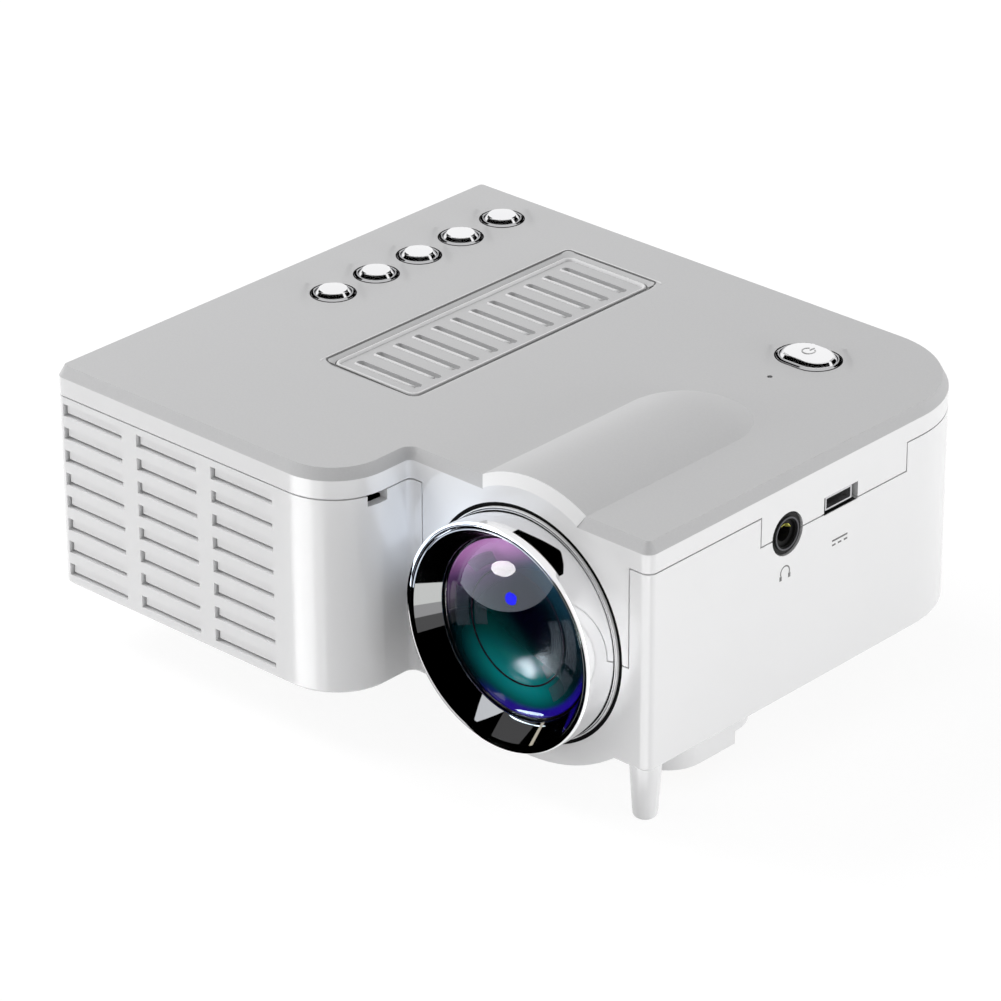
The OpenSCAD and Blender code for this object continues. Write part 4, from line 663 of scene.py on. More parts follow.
def coating_painted_reflections(tree, shade, gloss, height):
    """Painted reflections: near black at the axis; then each coating reflection's colour is added with its
    own reach and direction.
    """
    scale = 1 / (BOWL_R * MM)
    spot = place_of(tree, (scale, 0, scale), (LENS_X, 0, LENS_Z))
    out = put(tree, "VectorMath", {0: spot}, operation="LENGTH", out="Value")
    teal = sums(tree, "MULTIPLY", ramp(tree, toward(tree, spot, -96), 0.25, 0.95),
                ramp(tree, out, 1.02, 0.62, 0.0, 1.0))
    green = sums(tree, "MULTIPLY", ramp(tree, toward(tree, spot, -125), 0.05, 0.65),
                 ramp(tree, out, 1.0, 0.5, 0.0, 1.0))
    slate = ramp(tree, toward(tree, spot, 50), 0.30, 0.85)
    violet = ramp(tree, toward(tree, spot, 128), 0.38, 0.92)
    magenta = ramp(tree, toward(tree, spot, 116), 0.60, 0.95)
    rim = sums(tree, "MULTIPLY", ramp(tree, out, 0.88, 0.95),
               ramp(tree, toward(tree, spot, -66), 0.45, 0.9))
    shade = blend(tree, ramp(tree, out, 0.12, 0.6), rgb(0.0008, 0.0, 0.008), rgb(0.0, 0.008, 0.013))
    for share, colour in ((slate, rgb(0.02, 0.11, 0.17)), (green, rgb(0.0, 0.10, 0.085)),
                          (teal, rgb(0.0, 0.58, 0.54)), (violet, rgb(0.22, 0.10, 0.28)),
                          (magenta, rgb(1.0, 0.42, 0.95)), (rim, rgb(0.025, 0.005, 0.48))):
        shade = blend(tree, share, shade, colour)
    return shade, gloss, height


# The bowl's colour is painted reflection of the coatings; its coat gives the real gloss.
coating_reflection_paint = finish("lens_coating", rgb(0.01), rough=0.16, spread=0.02, grain=500.0, depth=0.002,
                 coat=1.0, pattern=coating_painted_reflections, Coat_Roughness=0.07)


def lens_glass():
    """A clear face: it mirrors by Fresnel on its outside, and lets everything else through."""
    made, tree, surface = bare_material("clear_front_glass")
    face = put(tree, "NewGeometry", out="Backfacing")
    share = sums(tree, "MULTIPLY", put(tree, "Fresnel", {"IOR": 1.52}),
                 sums(tree, "SUBTRACT", 1.0, face))
    smear = put(tree, "TexNoise", {"Vector": place_of(tree), "Scale": 160.0, "Detail": 4.0})
    clear = put(tree, "BsdfTransparent", {"Color": rgb(0.97, 0.965, 0.99)})
    shine = put(tree, "BsdfAnisotropic", {"Color": rgb(1.0, 0.98, 1.0),
                                          "Roughness": ramp(tree, smear, 0.3, 0.7, 0.015, 0.05)})
    tree.links.new(put(tree, "MixShader", {0: share, 1: clear, 2: shine}), surface)
    return made


settle(glass, lens_glass(), "lens_carriage", "front_lens")
settle(bowl, coating_reflection_paint, "lens_carriage")
print("the lens is coated")

# %% [markdown]
# ### Holder segments and edge ring
#
# Thin smoked segments float just in front of the bowl, in two bands with a dark
# line between them. Each one is a patch of a ring: radius runs one way, angle
# the other, with its back 0.08 mm behind its front.


# %% Segments and lens edge
HOLDER_APEX, HOLDER_CURVE, SEGMENT_THICK = 6.6, -80.0, 0.08
SEGMENTS = [(11.9, 14.9, 164, 197), (7.9, 10.7, 170, 196), (12.6, 15.0, 112, 141),
            (11.9, 14.9, -14, 27), (7.9, 10.7, -14, 27), (12.2, 14.9, -51, -20), (8.2, 10.7, -48, -22)]


def ring_patch(inner, outer, start, end):
    """A closed loop, carried along an arc: inner to outer at the front depth, then back behind it."""
    r = np.linspace(inner, outer, 9)
    depth = cap_depth(r, HOLDER_APEX, HOLDER_CURVE)
    loop_r, loop_t = np.r_[r, r[::-1]], np.r_[depth, depth[::-1] + SEGMENT_THICK]
    a = np.radians(np.linspace(start, end, max(6, int(abs(end - start) / 2))))[:, None]
    return on_lens(loop_r * np.cos(a), loop_r * np.sin(a), loop_t + 0 * a)


def end_lids(grid):
    """The first and last loop of a strip, each folded in half into a sheet of two rows."""
    n = grid.shape[1]
    return [np.stack([row[:(n + 1) // 2], row[:n // 2 - 1:-1]]) for row in (grid[0], grid[-1])]


def joined_shell(name, looped, sheets=None):
    """One object from grids that wrap along their columns and sheets that don't, by default their lids."""
    made = shell(name, looped)
    if sheets is None:
        sheets = [lid for grid in looped for lid in end_lids(grid)]
    more = shell(name + "_lids", sheets, wrap_columns=False, closed=False)
    work = bmesh.new()
    work.from_mesh(made.data)
    work.from_mesh(more.data)
    bmesh.ops.remove_doubles(work, verts=work.verts, dist=WELD)
    bmesh.ops.recalc_face_normals(work, faces=work.faces)
    work.to_mesh(made.data)
    work.free()
    bpy.data.objects.remove(more)
    return even_shading(made)


holder = joined_shell("lens_holder_segments", [ring_patch(*segment) for segment in SEGMENTS])
smoked = finish("smoked_segments", rgb(0.10, 0.13, 0.15), rough=0.25, spread=0.06, grain=700.0,
                depth=0.01, drift=0.15, coat=0.3, Alpha=0.30)

EDGE = [(BOWL_R + 0.05, 6.2), (GLASS_R, 6.2), (GLASS_R, 6.6), (BOWL_R + 0.05, 6.6)]
LINE_R = 11.25
LINE_T = float(cap_depth(LINE_R, HOLDER_APEX, HOLDER_CURVE))
LINE = [(LINE_R - 0.17, LINE_T - 0.02), (LINE_R + 0.17, LINE_T - 0.07),
        (LINE_R + 0.17, LINE_T + 0.1), (LINE_R - 0.17, LINE_T + 0.1)]
edge_ring = even_shading(shell("lens_edge_ring", [turned(eased(EDGE, 0.05, 3), on_lens, 192),
                                                  turned(eased(LINE, 0.03, 3), on_lens, 192)],
                               wrap_rows=True))
edge_black = finish("lens_edge_paint", rgb(0.028, 0.016, 0.030), rough=0.22, spread=0.05, grain=900.0,
                    depth=0.02, drift=0.3, coat=0.4)
settle(holder, smoked, "lens_carriage")
settle(edge_ring, edge_black, "lens_carriage")
print(len(SEGMENTS), "segments and one edge ring")

# %% [markdown]
# ## Keys
#
# The five keys are polished caps with a soft dome and a broad sloping shoulder,
# which is why each shows a white top and a black crescent. Their flange and
# guide stem are part of the same turned profile. The power key is a longer oval:
# here the profile's inset shrinks a stadium, two half circles joined by straight
# sides. Each key stands in a chrome cone with a thin black ring under it, a
# painted shadow at the cone's foot.

# %% Five round keys
KEY_X, KEY_Y0, KEY_PITCH = -0.0498, -0.0005, 0.01205
KEY_PLACES = [(KEY_X, KEY_Y0 + k * KEY_PITCH) for k in range(5)]
KEY_TOP, KEY_R, CROWN_R = 58.45, 3.6, 2.72
DOME_RISE, SHOULDER_DROP = 0.75, 1.05
crown = cap_profile(CROWN_R - 0.1, 0.0, (KEY_R ** 2 + DOME_RISE ** 2) / (2 * DOME_RISE), 14)
crown = np.column_stack([crown[:, 0], KEY_TOP - crown[:, 1]])
crown_edge = crown[-1, 1] - 0.03
side = eased([(crown[-1, 0], crown[-1, 1]), (CROWN_R, crown_edge), (KEY_R, crown_edge - SHOULDER_DROP),
              (KEY_R, 55.0), (4.4, 55.0), (4.4, 54.0), (1.6, 54.0), (1.6, 52.05), (0.0, 52.05)],
             [0, 0.05, 0.08, 0.1, 0.12, 0.12, 0.1, 0.12, 0], 5, closed=False)
key_profile = np.vstack([crown[:-1], side])
for k, place in enumerate(KEY_PLACES, 1):
    key = even_shading(shell(f"key_cap_{k}", [turned(key_profile, upright(*place), 96)]))
    settle(key, key_chrome, f"key_{k}", f"key_{k}")
print("five keys of", len(key.data.polygons), "faces each")

# %% Key surrounds
SURROUND = [(3.70, 56.12), (3.70, 57.28), (3.78, 57.33), (4.10, 57.15), (4.36, 57.0), (4.2, 57.0),
            (4.2, 56.12)]
SURROUND_CUTS = [0.05, 0.06, 0.06, 0.1, 0.05, 0.02, 0.05]
# A black ring at each surround's foot: painted shadow for the gap under it.
FOOT_SHADOW, FOOT_SHADOW_CUT = [(4.3, 57.0), (4.37, 57.07), (4.52, 57.07), (4.60, 57.0)], 0.03
spots = [upright(*place) for place in KEY_PLACES]
surrounds = turned_ring("key_surround_rings", SURROUND, SURROUND_CUTS, spots, 96)
foot_shadows = turned_ring("key_gaskets", FOOT_SHADOW, FOOT_SHADOW_CUT, spots, 96)
settle(foot_shadows, shadow_black, "housing")
surround_chrome = finish("surround_chrome", rgb(0.50, 0.50, 0.51), rough=0.1, metal=1.0,
                         grain=2500.0, depth=0.01)
settle(surrounds, surround_chrome, "housing", "key_surrounds")
print("surrounds:", len(surrounds.data.polygons), "faces")


# %% Power key
POWER_X, POWER_Y = 0.0370, 0.0387
POWER_END, POWER_STRAIGHT = 4.2, 1.7
POWER_BALL = ((POWER_END + POWER_STRAIGHT) ** 2 + DOME_RISE ** 2) / (2 * DOME_RISE)


def stadium(reach, straight, steps=48):
    """A loop round a straight core: (+-straight, 0) + reach (cos a, sin a), with the sign of cos a."""
    a = np.linspace(0, 2 * np.pi, 2 * steps, endpoint=False) + np.pi / (2 * steps)
    return reach * np.cos(a) + straight * np.sign(np.cos(a)), reach * np.sin(a)


def oval_rows(profile, dome=False):
    """A stadium loop for each (reach, height); on the dome the height falls by (x^2 + y^2) / 2R."""
    rows = []
    for reach, height in profile:
        x, y = stadium(reach, POWER_STRAIGHT)
        drop = (x * x + y * y) / (2 * POWER_BALL) if dome else 0 * x
        rows.append(upright(POWER_X, POWER_Y)(x, y, height - drop))
    return np.stack(rows)


top_rows = oval_rows([(r, KEY_TOP) for r in np.linspace(0.0, POWER_END - 0.75, 12)], dome=True)
shoulder = eased([(POWER_END - 0.75, KEY_TOP - 0.01), (POWER_END - 0.65, KEY_TOP - 0.03),
                  (POWER_END, KEY_TOP - 0.72), (POWER_END, KEY_TOP - 0.95)],
                 [0, 0.05, 0.08, 0], 6, closed=False)[1:]
shoulder_rows = oval_rows(shoulder, dome=True)
skirt = eased([(POWER_END, 56.6), (POWER_END, 55.0), (5.0, 55.0), (5.0, 54.0), (0.02, 54.0), (0.0, 54.0)],
              [0, 0.1, 0.12, 0.12, 0, 0], 5, closed=False)
skirt_rows = oval_rows(skirt)
power_stem = turned(eased([(0.0, 54.1), (1.6, 54.1), (1.6, 52.6), (0.0, 52.6)], [0, 0.05, 0.12, 0],
                          5, closed=False), upright(POWER_X, POWER_Y), 96)
power_key = even_shading(shell("power_key_cap",
                               [np.vstack([top_rows, shoulder_rows, skirt_rows]), power_stem]))
settle(power_key, key_chrome, "power_key", "power_key")


def oval_trim(name, profile, cut):
    """A round key's trim, widened from the key's radius to the power key's ends."""
    wide = [(r - KEY_R + POWER_END, height) for r, height in profile]
    return even_shading(shell(name, [oval_rows(eased(wide, cut))], wrap_rows=True))


power_surround = oval_trim("power_surround_ring", SURROUND, SURROUND_CUTS)
# The power key's black foot ring is painted shadow too.
power_foot_shadow = oval_trim("power_foot_shadow", FOOT_SHADOW, FOOT_SHADOW_CUT)
settle(power_foot_shadow, shadow_black, "housing")
settle(power_surround, surround_chrome, "housing", "power_surround")
print("power key:", len(power_key.data.polygons), "faces")

# %% [markdown]
# ## Printed signs
#
# Three small signs are printed in grey: a standby mark on the power key, a
# headphone beside its jack, and the usual direct current sign, a bar over three
# dashes, under the power inlet. A print is a thin ribbon carried along a line.


# %% Ribbons
def ribbon(line, width, place, thick=0.03):
    """Carries a flat box section along a line in mm: half the width to each side, one thickness high."""
    line = np.asarray(line, float)
    step = np.gradient(line, axis=0)
    across = np.column_stack([-step[:, 1], step[:, 0]]) / np.hypot(*step.T)[:, None] * width / 2
    corners = np.stack([line - across, line + across, line + across, line - across], 1)
    lift = np.array([0.0, 0.0, thick, thick])
    return place(corners[..., 0], corners[..., 1], lift[None, :] + 0 * corners[..., 0])


def arc(radius, start, end, centre=(0, 0), steps=40):
    """Points of a circle's arc between two angles in degrees."""
    a = np.radians(np.linspace(start, end, steps))
    return np.column_stack([centre[0] + radius * np.cos(a), centre[1] + radius * np.sin(a)])


def bar(a, b, steps=6):
    """Points of a straight stroke."""
    return np.linspace(a, b, steps)


def on_wall(y, z):
    """The right wall's frame: a runs along +Y and b up, lifted off the wall along +X."""
    return lambda a, b, lift: np.stack([0.066 + (lift - 0.01) * MM, y + a * MM, z + b * MM], -1)


def on_power_key(a, b, lift):
    """The power key's dome: a along X, b along Y."""
    height = KEY_TOP - (a * a + b * b) / (2 * POWER_BALL) - 0.012 + lift
    return upright(POWER_X, POWER_Y)(a, b, height)


def printed(name, strokes, place, look, body):
    """One object from several (line, width) strokes."""
    sign = joined_shell(name, [ribbon(line, width, place) for line, width in strokes])
    settle(sign, look, body)


ink = finish("grey_print", rgb(0.20), rough=0.5, grain=3000.0, depth=0.05, drift=0.15)
pale_ink = finish("pale_print", rgb(0.46), rough=0.4, grain=3000.0, depth=0.05, drift=0.1)
printed("standby_sign", [(arc(1.25, 60, -240), 0.26), (bar((0, 0.35), (0, 1.75)), 0.26)],
        on_power_key, pale_ink, "power_key")
printed("headphone_sign", [(arc(1.25, -20, 200, (0, 0.15)), 0.28)] +
        [(bar((x, -0.35), (x, -1.25)), 0.62) for x in (-1.22, 1.22)],
        on_wall(-0.0023, 0.0373), ink, "housing")
printed("direct_current_sign", [(bar((-2.2, 0.45), (2.2, 0.45)), 0.36)] +
        [(bar((x - 0.5, -0.45), (x + 0.5, -0.45)), 0.36) for x in (-1.7, 0.0, 1.7)],
        on_wall(0.0133, 0.0382), ink, "housing")
print("three signs printed")

# %% [markdown]
# ## Inside the jack
#
# Down the jack's bore two gilt leaves wait for the plug. They are bowed strips:
# a shallow arch along the bore, standing a little off its wall. A grey bushing
# lines the mouth. Both are worked out in a frame that points into the wall.


# %% Jack contacts
JACK = (0.0660, -0.0018, 0.0451)
LEAF_BOW, LEAF_THICK = 0.42, 0.12


def into_jack(u, w, t):
    """The jack's frame: u along +Y, w up, t into the wall from its face."""
    return np.stack(np.broadcast_arrays(JACK[0] - t * MM, JACK[1] + u * MM, JACK[2] + w * MM), -1)


def leaf(angle, radius, start, length, width):
    """A strip along the bore: at share s of its length it stands at radius R - bow sin(pi s)."""
    s = np.linspace(0, 1, 24)[:, None]
    across = width * np.array([-0.5, 0.5, 0.5, -0.5])[None, :]
    lift = np.array([0.0, 0.0, -LEAF_THICK, -LEAF_THICK])[None, :]
    r = radius - LEAF_BOW * np.sin(np.pi * s) + lift
    a = math.radians(angle)
    return into_jack(r * math.cos(a) - across * math.sin(a), r * math.sin(a) + across * math.cos(a),
                     start + length * s)


contacts = joined_shell("jack_contacts", [leaf(angle, 1.76, 0.7, 3.6, 1.1) for angle in (40, 105)])
gold_flash = finish("gold_flash", rgb(0.80, 0.78, 0.16), rough=0.25, metal=0.35, depth=0.02)
settle(contacts, gold_flash, "housing")

BUSHING = [(2.95, 0.02), (3.25, 0.02), (3.25, 0.35), (2.95, 0.35)]
bushing = turned_ring("jack_bushing", BUSHING, 0.05, [into_jack], 96)
bushing_grey = finish("bushing_grey", rgb(0.10, 0.10, 0.11), rough=0.3, metal=0.5, depth=0.03)
settle(bushing, bushing_grey, "housing")
print("two gilt leaves and a bushing")

# %% [markdown]
# ## Round the roof vent
#
# The vent panel lies in a shallow tray. A fine rounded bead runs round the
# tray's floor, a dark line of painted shadow lies outside it, and two sides of the
# tray have a thin lip. Bead and lips, the slot lips too, are pale grey, painted
# highlights on their edges. Under the slots a pale perforated screen keeps the dust out.
# Loops are rounded rectangles; everything lies on the tray, whose depth follows
# from the distance to its outline.


# %% Vent trim
TRAY_LOW, TRAY_HIGH, TRAY_R = np.array([-30.0, -24.4]), np.array([-5.3, 45.4]), 3.0
TRAY_RIM, TRAY_DEPTH, ROOF = 2.0, 0.8, 57.0


def tray_height(x, y):
    """Roof height less the tray's depth times the share of its rim crossed.

    With q = |p - centre| - half size + R, a point lies R - |max(q, 0)| - min(max(q), 0) inside.
    """
    centre, half = (TRAY_LOW + TRAY_HIGH) / 2, (TRAY_HIGH - TRAY_LOW) / 2
    qx = np.abs(x - centre[0]) - half[0] + TRAY_R
    qy = np.abs(y - centre[1]) - half[1] + TRAY_R
    inside = (TRAY_R - np.hypot(np.maximum(qx, 0), np.maximum(qy, 0))
              - np.minimum(np.maximum(qx, qy), 0))
    return ROOF - TRAY_DEPTH * np.clip(inside / TRAY_RIM, 0, 1)


def rounded_loop(low, high, radius, steps=24):
    """Points and outward ways round a rectangle, its corners (cx + R cos a, cy + R sin a)."""
    a = np.linspace(0, np.pi / 2, steps)[None, :] + np.arange(4)[:, None] * np.pi / 2
    near, far = low + radius, high - radius
    cx = np.array([far[0], near[0], near[0], far[0]])[:, None]
    cy = np.array([far[1], far[1], near[1], near[1]])[:, None]
    points = np.stack([cx + radius * np.cos(a), cy + radius * np.sin(a)], -1).reshape(-1, 2)
    return points, np.stack([np.cos(a), np.sin(a)], -1).reshape(-1, 2)


def trim(path, outward, half_width, height, sides=9):
    """A half-round bead along a path on the tray: h cos b outward, H sin b up, flat underneath."""
    b = np.linspace(0, np.pi, sides)
    across = np.r_[half_width * np.cos(b), -half_width, half_width]
    lift = np.r_[height * np.sin(b), -0.1, -0.1]
    x = path[:, None, 0] + across * outward[:, None, 0]
    y = path[:, None, 1] + across * outward[:, None, 1]
    return np.stack([x * MM, y * MM, (tray_height(x, y) + lift) * MM], -1)


bead_path = rounded_loop(TRAY_LOW + TRAY_RIM, TRAY_HIGH - TRAY_RIM, 1.6)
bead = even_shading(shell("vent_bead", [trim(*bead_path, 0.38, 0.50)], wrap_rows=True))
# Painted shadow: two dark lines round the tray, one at its outer edge, one outside the bead.
shadow_line_path = rounded_loop(TRAY_LOW + [0.1, 1.2], TRAY_HIGH - [1.2, 0.1], 1.1)
inner_path = rounded_loop(TRAY_LOW + TRAY_RIM - 0.52, TRAY_HIGH - TRAY_RIM + 0.52, 2.1)
shadow_line = even_shading(shell("vent_painted_shadow_line", [trim(*shadow_line_path, 0.22, 0.03), trim(*inner_path, 0.12, 0.03)],
                          wrap_rows=True))
lip_line, lip_out = rounded_loop(TRAY_LOW - 0.25, TRAY_HIGH + 0.25, 1.4)
far_sides = slice(12, 60)
lip = joined_shell("vent_lip", [trim(lip_line[far_sides], lip_out[far_sides], 0.17, 0.14)])
slot_x = np.linspace(-25.5, -10.1, 12)
slot_lips = []
for slot_y in 10.5 + (np.arange(12) - 5.5) * 5.25 - 1.08:
    line = np.column_stack([slot_x, 0 * slot_x + slot_y])
    slot_lips.append(trim(line, np.tile([0.0, 1.0], (12, 1)), 0.27, 0.26, 7))
louvres = joined_shell("vent_slot_lips", slot_lips)
shadow_line_grey = finish("shadow_line_grey", rgb(0.13), rough=0.6, grain=3000.0, depth=0.05, drift=0.1)
# Painted highlight: bead and lips are pale grey, lighter than the painted top, to draw light lines on their
# edges.
highlight_grey = finish("pale_painted_highlight", rgb(0.74, 0.74, 0.745), rough=0.3, grain=1800.0, depth=0.01)
for made, look in ((bead, highlight_grey), (shadow_line, shadow_line_grey), (lip, highlight_grey), (louvres, highlight_grey)):
    settle(made, look, "housing")


def screen_pattern(tree, shade, gloss, height):
    """Holes on a grid of 0.5 mm, not cut: a dark spot round each cell's centre, painted shade for each
    hole.
    """
    cells = put(tree, "TexVoronoi", {"Vector": place_of(tree), "Scale": 2000.0, "Randomness": 0.0},
                out="Distance")
    return blend(tree, ramp(tree, cells, 0.24, 0.30, 0.35, 0.0), shade, rgb(0.25)), gloss, cells


SCREEN_TOP, SCREEN_THICK = 55.17, 0.06
ends = np.meshgrid([-27.6, -7.7], [-22.0, 43.0])
sheet_top = np.stack([ends[0] * MM, ends[1] * MM, np.full((2, 2), SCREEN_TOP * MM)], -1)
sheet_low = sheet_top - [0, 0, SCREEN_THICK * MM]
around = np.stack([level[[0, 0, 1, 1], [0, 1, 1, 0]] for level in (sheet_top, sheet_low)])
screen = joined_shell("vent_screen", [around], [sheet_top, sheet_low])
screen_pale = finish("screen_pale", rgb(0.80), rough=0.5, grain=2500.0, depth=0.1,
                     pattern=screen_pattern)
settle(screen, screen_pale, "housing")
print("vent trim and screen made")

# %% [markdown]
# ## Light and floor
#
# The photograph is lit from all sides, with almost no shadow. A pale room gives
# part of that light and four soft lamps the rest. Room and floor are white to
# the camera and to mirrors, and the floor still darkens under the object.


# %% World
def plainly_seen(tree):
    """1 for rays from the camera, from a mirror or through glass, 0 for those that only bring light."""
    rays = tree.nodes.new("ShaderNodeLightPath").outputs
    bent = sums(tree, "MAXIMUM", rays["Is Glossy Ray"], rays["Is Transmission Ray"])
    return sums(tree, "MAXIMUM", rays["Is Camera Ray"], bent)


world = bpy.data.worlds.new("studio")
bpy.context.scene.world = world
world.use_nodes = True
sky = world.node_tree
SKY_ON_OBJECT = 0.39
strength = ramp(sky, plainly_seen(sky), 0, 1, SKY_ON_OBJECT, 1.0, smooth=False)
sky.links.new(strength, sky.nodes["Background"].inputs["Strength"])
sky.nodes["Background"].inputs["Color"].default_value = rgb(1.0)
print("the room shines on the part at", SKY_ON_OBJECT)

# %% Floor
FLOOR_SIZE = 6.0
corner = np.array([-FLOOR_SIZE / 2, FLOOR_SIZE / 2])
across, along = np.meshgrid(corner, corner)
floor = shell("floor", [np.stack([across, along, 0 * across - 0.05 * MM], -1)],
              wrap_columns=False, closed=False)
cloth, tree, surface = bare_material("white_floor")
mottle = put(tree, "TexNoise", {"Vector": place_of(tree), "Scale": 6.0})
plain = put(tree, "BsdfDiffuse", {"Color": blend(tree, mottle, rgb(0.80), rgb(0.82))})
thin = put(tree, "BsdfDiffuse", {"Color": rgb(0.14)})
glow = put(tree, "Emission", {"Color": rgb(1.0), "Strength": 0.90})
shown = put(tree, "AddShader", {0: thin, 1: glow})
tree.links.new(put(tree, "MixShader", {0: plainly_seen(tree), 1: plain, 2: shown}), surface)
floor.data.materials.append(cloth)
floor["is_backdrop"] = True


# %% Lamps
def softbox(name, place, width, height, power, look_at=(0.0, 0.0, 0.03)):
    """A flat area lamp that faces a point; it lights the part but isn't mirrored in it."""
    lamp = bpy.data.lights.new(name, "AREA")
    lamp.shape, lamp.size, lamp.size_y, lamp.energy = "RECTANGLE", width, height, power
    made = bpy.data.objects.new(name, lamp)
    bpy.context.scene.collection.objects.link(made)
    made.location = place
    made.rotation_mode = "QUATERNION"
    made.rotation_quaternion = (Vector(place) - Vector(look_at)).to_track_quat("Z", "Y")
    made.visible_glossy = False
    return made


softbox("lamp_left", (-0.82, -0.21, 0.88), 0.6, 0.6, 9.7)
softbox("lamp_low_right", (1.08, 0.24, 0.14), 0.8, 0.2, 5.4)
softbox("lamp_low_front", (-0.70, -0.95, 0.25), 0.5, 0.3, 2.7)
softbox("lamp_behind", (0.20, 1.10, 0.45), 0.7, 0.7, 1.3)
print("world, floor and four lamps")

# %% [markdown]
# ## Cards for the mirrors
#
# Chrome and glass only look right when there is something to see in them. A
# studio does that with white and black cards. These cards are seen by mirrors
# alone. A card's shape is found backwards: take the patch of the surface where
# its image should lie, follow each sight line from the camera to that patch,
# bounce it, and put the card where the bounced lines end. So the cards fit this
# one camera with the part at rest, and other views show other reflections.


# %% Card helpers
def bounced(points, normals, reach):
    """P + reach (d - 2 (d.n) n), with d the unit line from the camera to P and n the normal."""
    d = points - CAMERA_PLACE
    d /= np.linalg.norm(d, axis=-1, keepdims=True)
    r = d - 2 * (d * normals).sum(-1, keepdims=True) * normals
    return points + reach * MM * r


def card(name, grids, strength, colour=rgb(1.0), wrap=True, near=0.0, far=None):
    """A glowing stage sheet that only mirrors see; strength 0 is a black card.

    It is there only for rays between near and far mm long, so that it serves one surface.
    """
    made = shell(name, grids if isinstance(grids, list) else [grids], wrap_columns=wrap, closed=False)
    look, tree, surface = bare_material(name)
    glow = put(tree, "Emission", {"Color": colour, "Strength": strength})
    if near or far:
        length = tree.nodes.new("ShaderNodeLightPath").outputs["Ray Length"]
        there = sums(tree, "MULTIPLY", sums(tree, "GREATER_THAN", length, near * MM),
                     sums(tree, "LESS_THAN", length, (far or 1e6) * MM))
        glow = put(tree, "MixShader", {0: there, 1: put(tree, "BsdfTransparent"), 2: glow})
    tree.links.new(glow, surface)
    made.data.materials.append(look)
    made.visible_camera = made.visible_diffuse = made.visible_shadow = False
    made.visible_transmission = made.visible_volume_scatter = False
    made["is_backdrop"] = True


def oval(centre, half, tilt=0.0, rings=10, sides=48):
    """(u, w) of a filled oval: centre + s (a cos q, b sin q), turned by the tilt."""
    s = np.linspace(0, 1, rings)[:, None]
    q = np.linspace(0, 2 * np.pi, sides, endpoint=False)
    x, y = s * half[0] * np.cos(q), s * half[1] * np.sin(q)
    a = math.radians(tilt)
    return (centre[0] + x * math.cos(a) - y * math.sin(a),
            centre[1] + x * math.sin(a) + y * math.cos(a))


def on_ball(u, w, apex, curve):
    """Points of a ball-shaped face, and their normals along the line from the ball's middle."""
    t = cap_depth(np.hypot(u, w), apex, curve)
    middle = on_lens(0.0, 0.0, apex + curve)
    points = on_lens(u, w, t)
    normals = (points - middle) / np.linalg.norm(points - middle, axis=-1, keepdims=True)
    return points, normals * math.copysign(1, curve)


# %% Cards in front of the lens
FRONT, HOLLOW = (GLASS_APEX, GLASS_CURVE), (BOWL_APEX, BOWL_CURVE)
card("velvet", bounced(*on_ball(*oval((0, 0), (17.8, 17.8), rings=14), *FRONT), 11.5), 0.0)
for name, centre, half, tilt, face, reach, strength, colour, near, far in (
        ("window", (-4.2, 13.5), (14.2, 8.6), 0, FRONT, 10.5, 2.3, rgb(0.80, 0.88, 1.0), 0, 12),
        ("lamp_in_front", (-0.9, 12.8), (2.9, 1.35), 14, FRONT, 9.5, 17.0, rgb(1.0), 0, 12),
        ("blue_lamp", (2.17, 8.3), (1.35, 1.15), 0, FRONT, 9.0, 20.0, rgb(0.03, 0.03, 1.0), 0, 12),
        ("rim_lamp", (3.6, -15.6), (4.2, 0.55), 14, FRONT, 1.3, 9.0, rgb(0.75, 0.9, 1.0), 0, 2),
        ("lamp_in_bowl", (0.9, -8.8), (3.0, 1.9), 16, HOLLOW, 15.0, 20.0, rgb(0.85, 1.0, 1.0), 12.5, None)):
    card(name, bounced(*on_ball(*oval(centre, half, tilt), *face), reach), strength, colour,
         near=near, far=far)
print("six cards before the lens")


# %% Cards for the ring and the hood
def on_cone(inner, outer, start, end, steps=40, taper=0.0):
    """Points of a cone round the lens axis between two (r, t) rims, narrower by the taper outside.

    Its normal is the line between the rims turned a quarter, towards the front.
    """
    share = np.linspace(0, 1, 6)[None, :]
    middle = (start + end) / 2
    a = np.radians(middle + (np.linspace(start, end, steps)[:, None] - middle) * (1 - taper * share))
    r = inner[0] + (outer[0] - inner[0]) * share
    t = inner[1] + (outer[1] - inner[1]) * share
    length = math.hypot(outer[0] - inner[0], outer[1] - inner[1])
    nr, nt = (outer[1] - inner[1]) / length, -(outer[0] - inner[0]) / length
    points = on_lens(r * np.cos(a), r * np.sin(a), t + 0 * a)
    return points, np.stack([nr * np.cos(a), nt + 0 * a, nr * np.sin(a)], -1)


phi = np.radians(np.linspace(50.6, 82.5, 24))[:, None]
deep = np.interp(np.degrees(phi), [50.6, 54.8, 61.0, 76.5, 82.5], [2.5, 4.0, 5.56, 3.4, 2.94])
t = 1.38 + (deep - 1.38) * np.linspace(0, 1, 6)[None, :]
points = on_lens(22.3 * np.cos(phi), 22.3 * np.sin(phi), t)
normals = np.broadcast_to(np.stack([np.cos(phi), 0 * phi, np.sin(phi)], -1), points.shape)
card("ring_flag", bounced(points, normals, 3.0), 0.0, wrap=False, far=5)
lips = [on_cone(inner, outer, 95, 300, 90) for inner, outer in
        (((21.28, 0.55), (21.72, -0.18)), ((21.5, 0.12), (21.8, 0.0)), ((21.4, 0.0), (22.2, 0.0)))]
card("lip_flag", [bounced(points, normals, 1.2) for points, normals in lips], 0.0, wrap=False, far=1.9)
HOOD_IN, HOOD_OUT = (17.8, 5.15), (20.8, 0.2)
card("hood_flag", bounced(*on_cone(HOOD_IN, HOOD_OUT, 80, 320, 90), 1.6), 0.0, wrap=False, far=2.6)
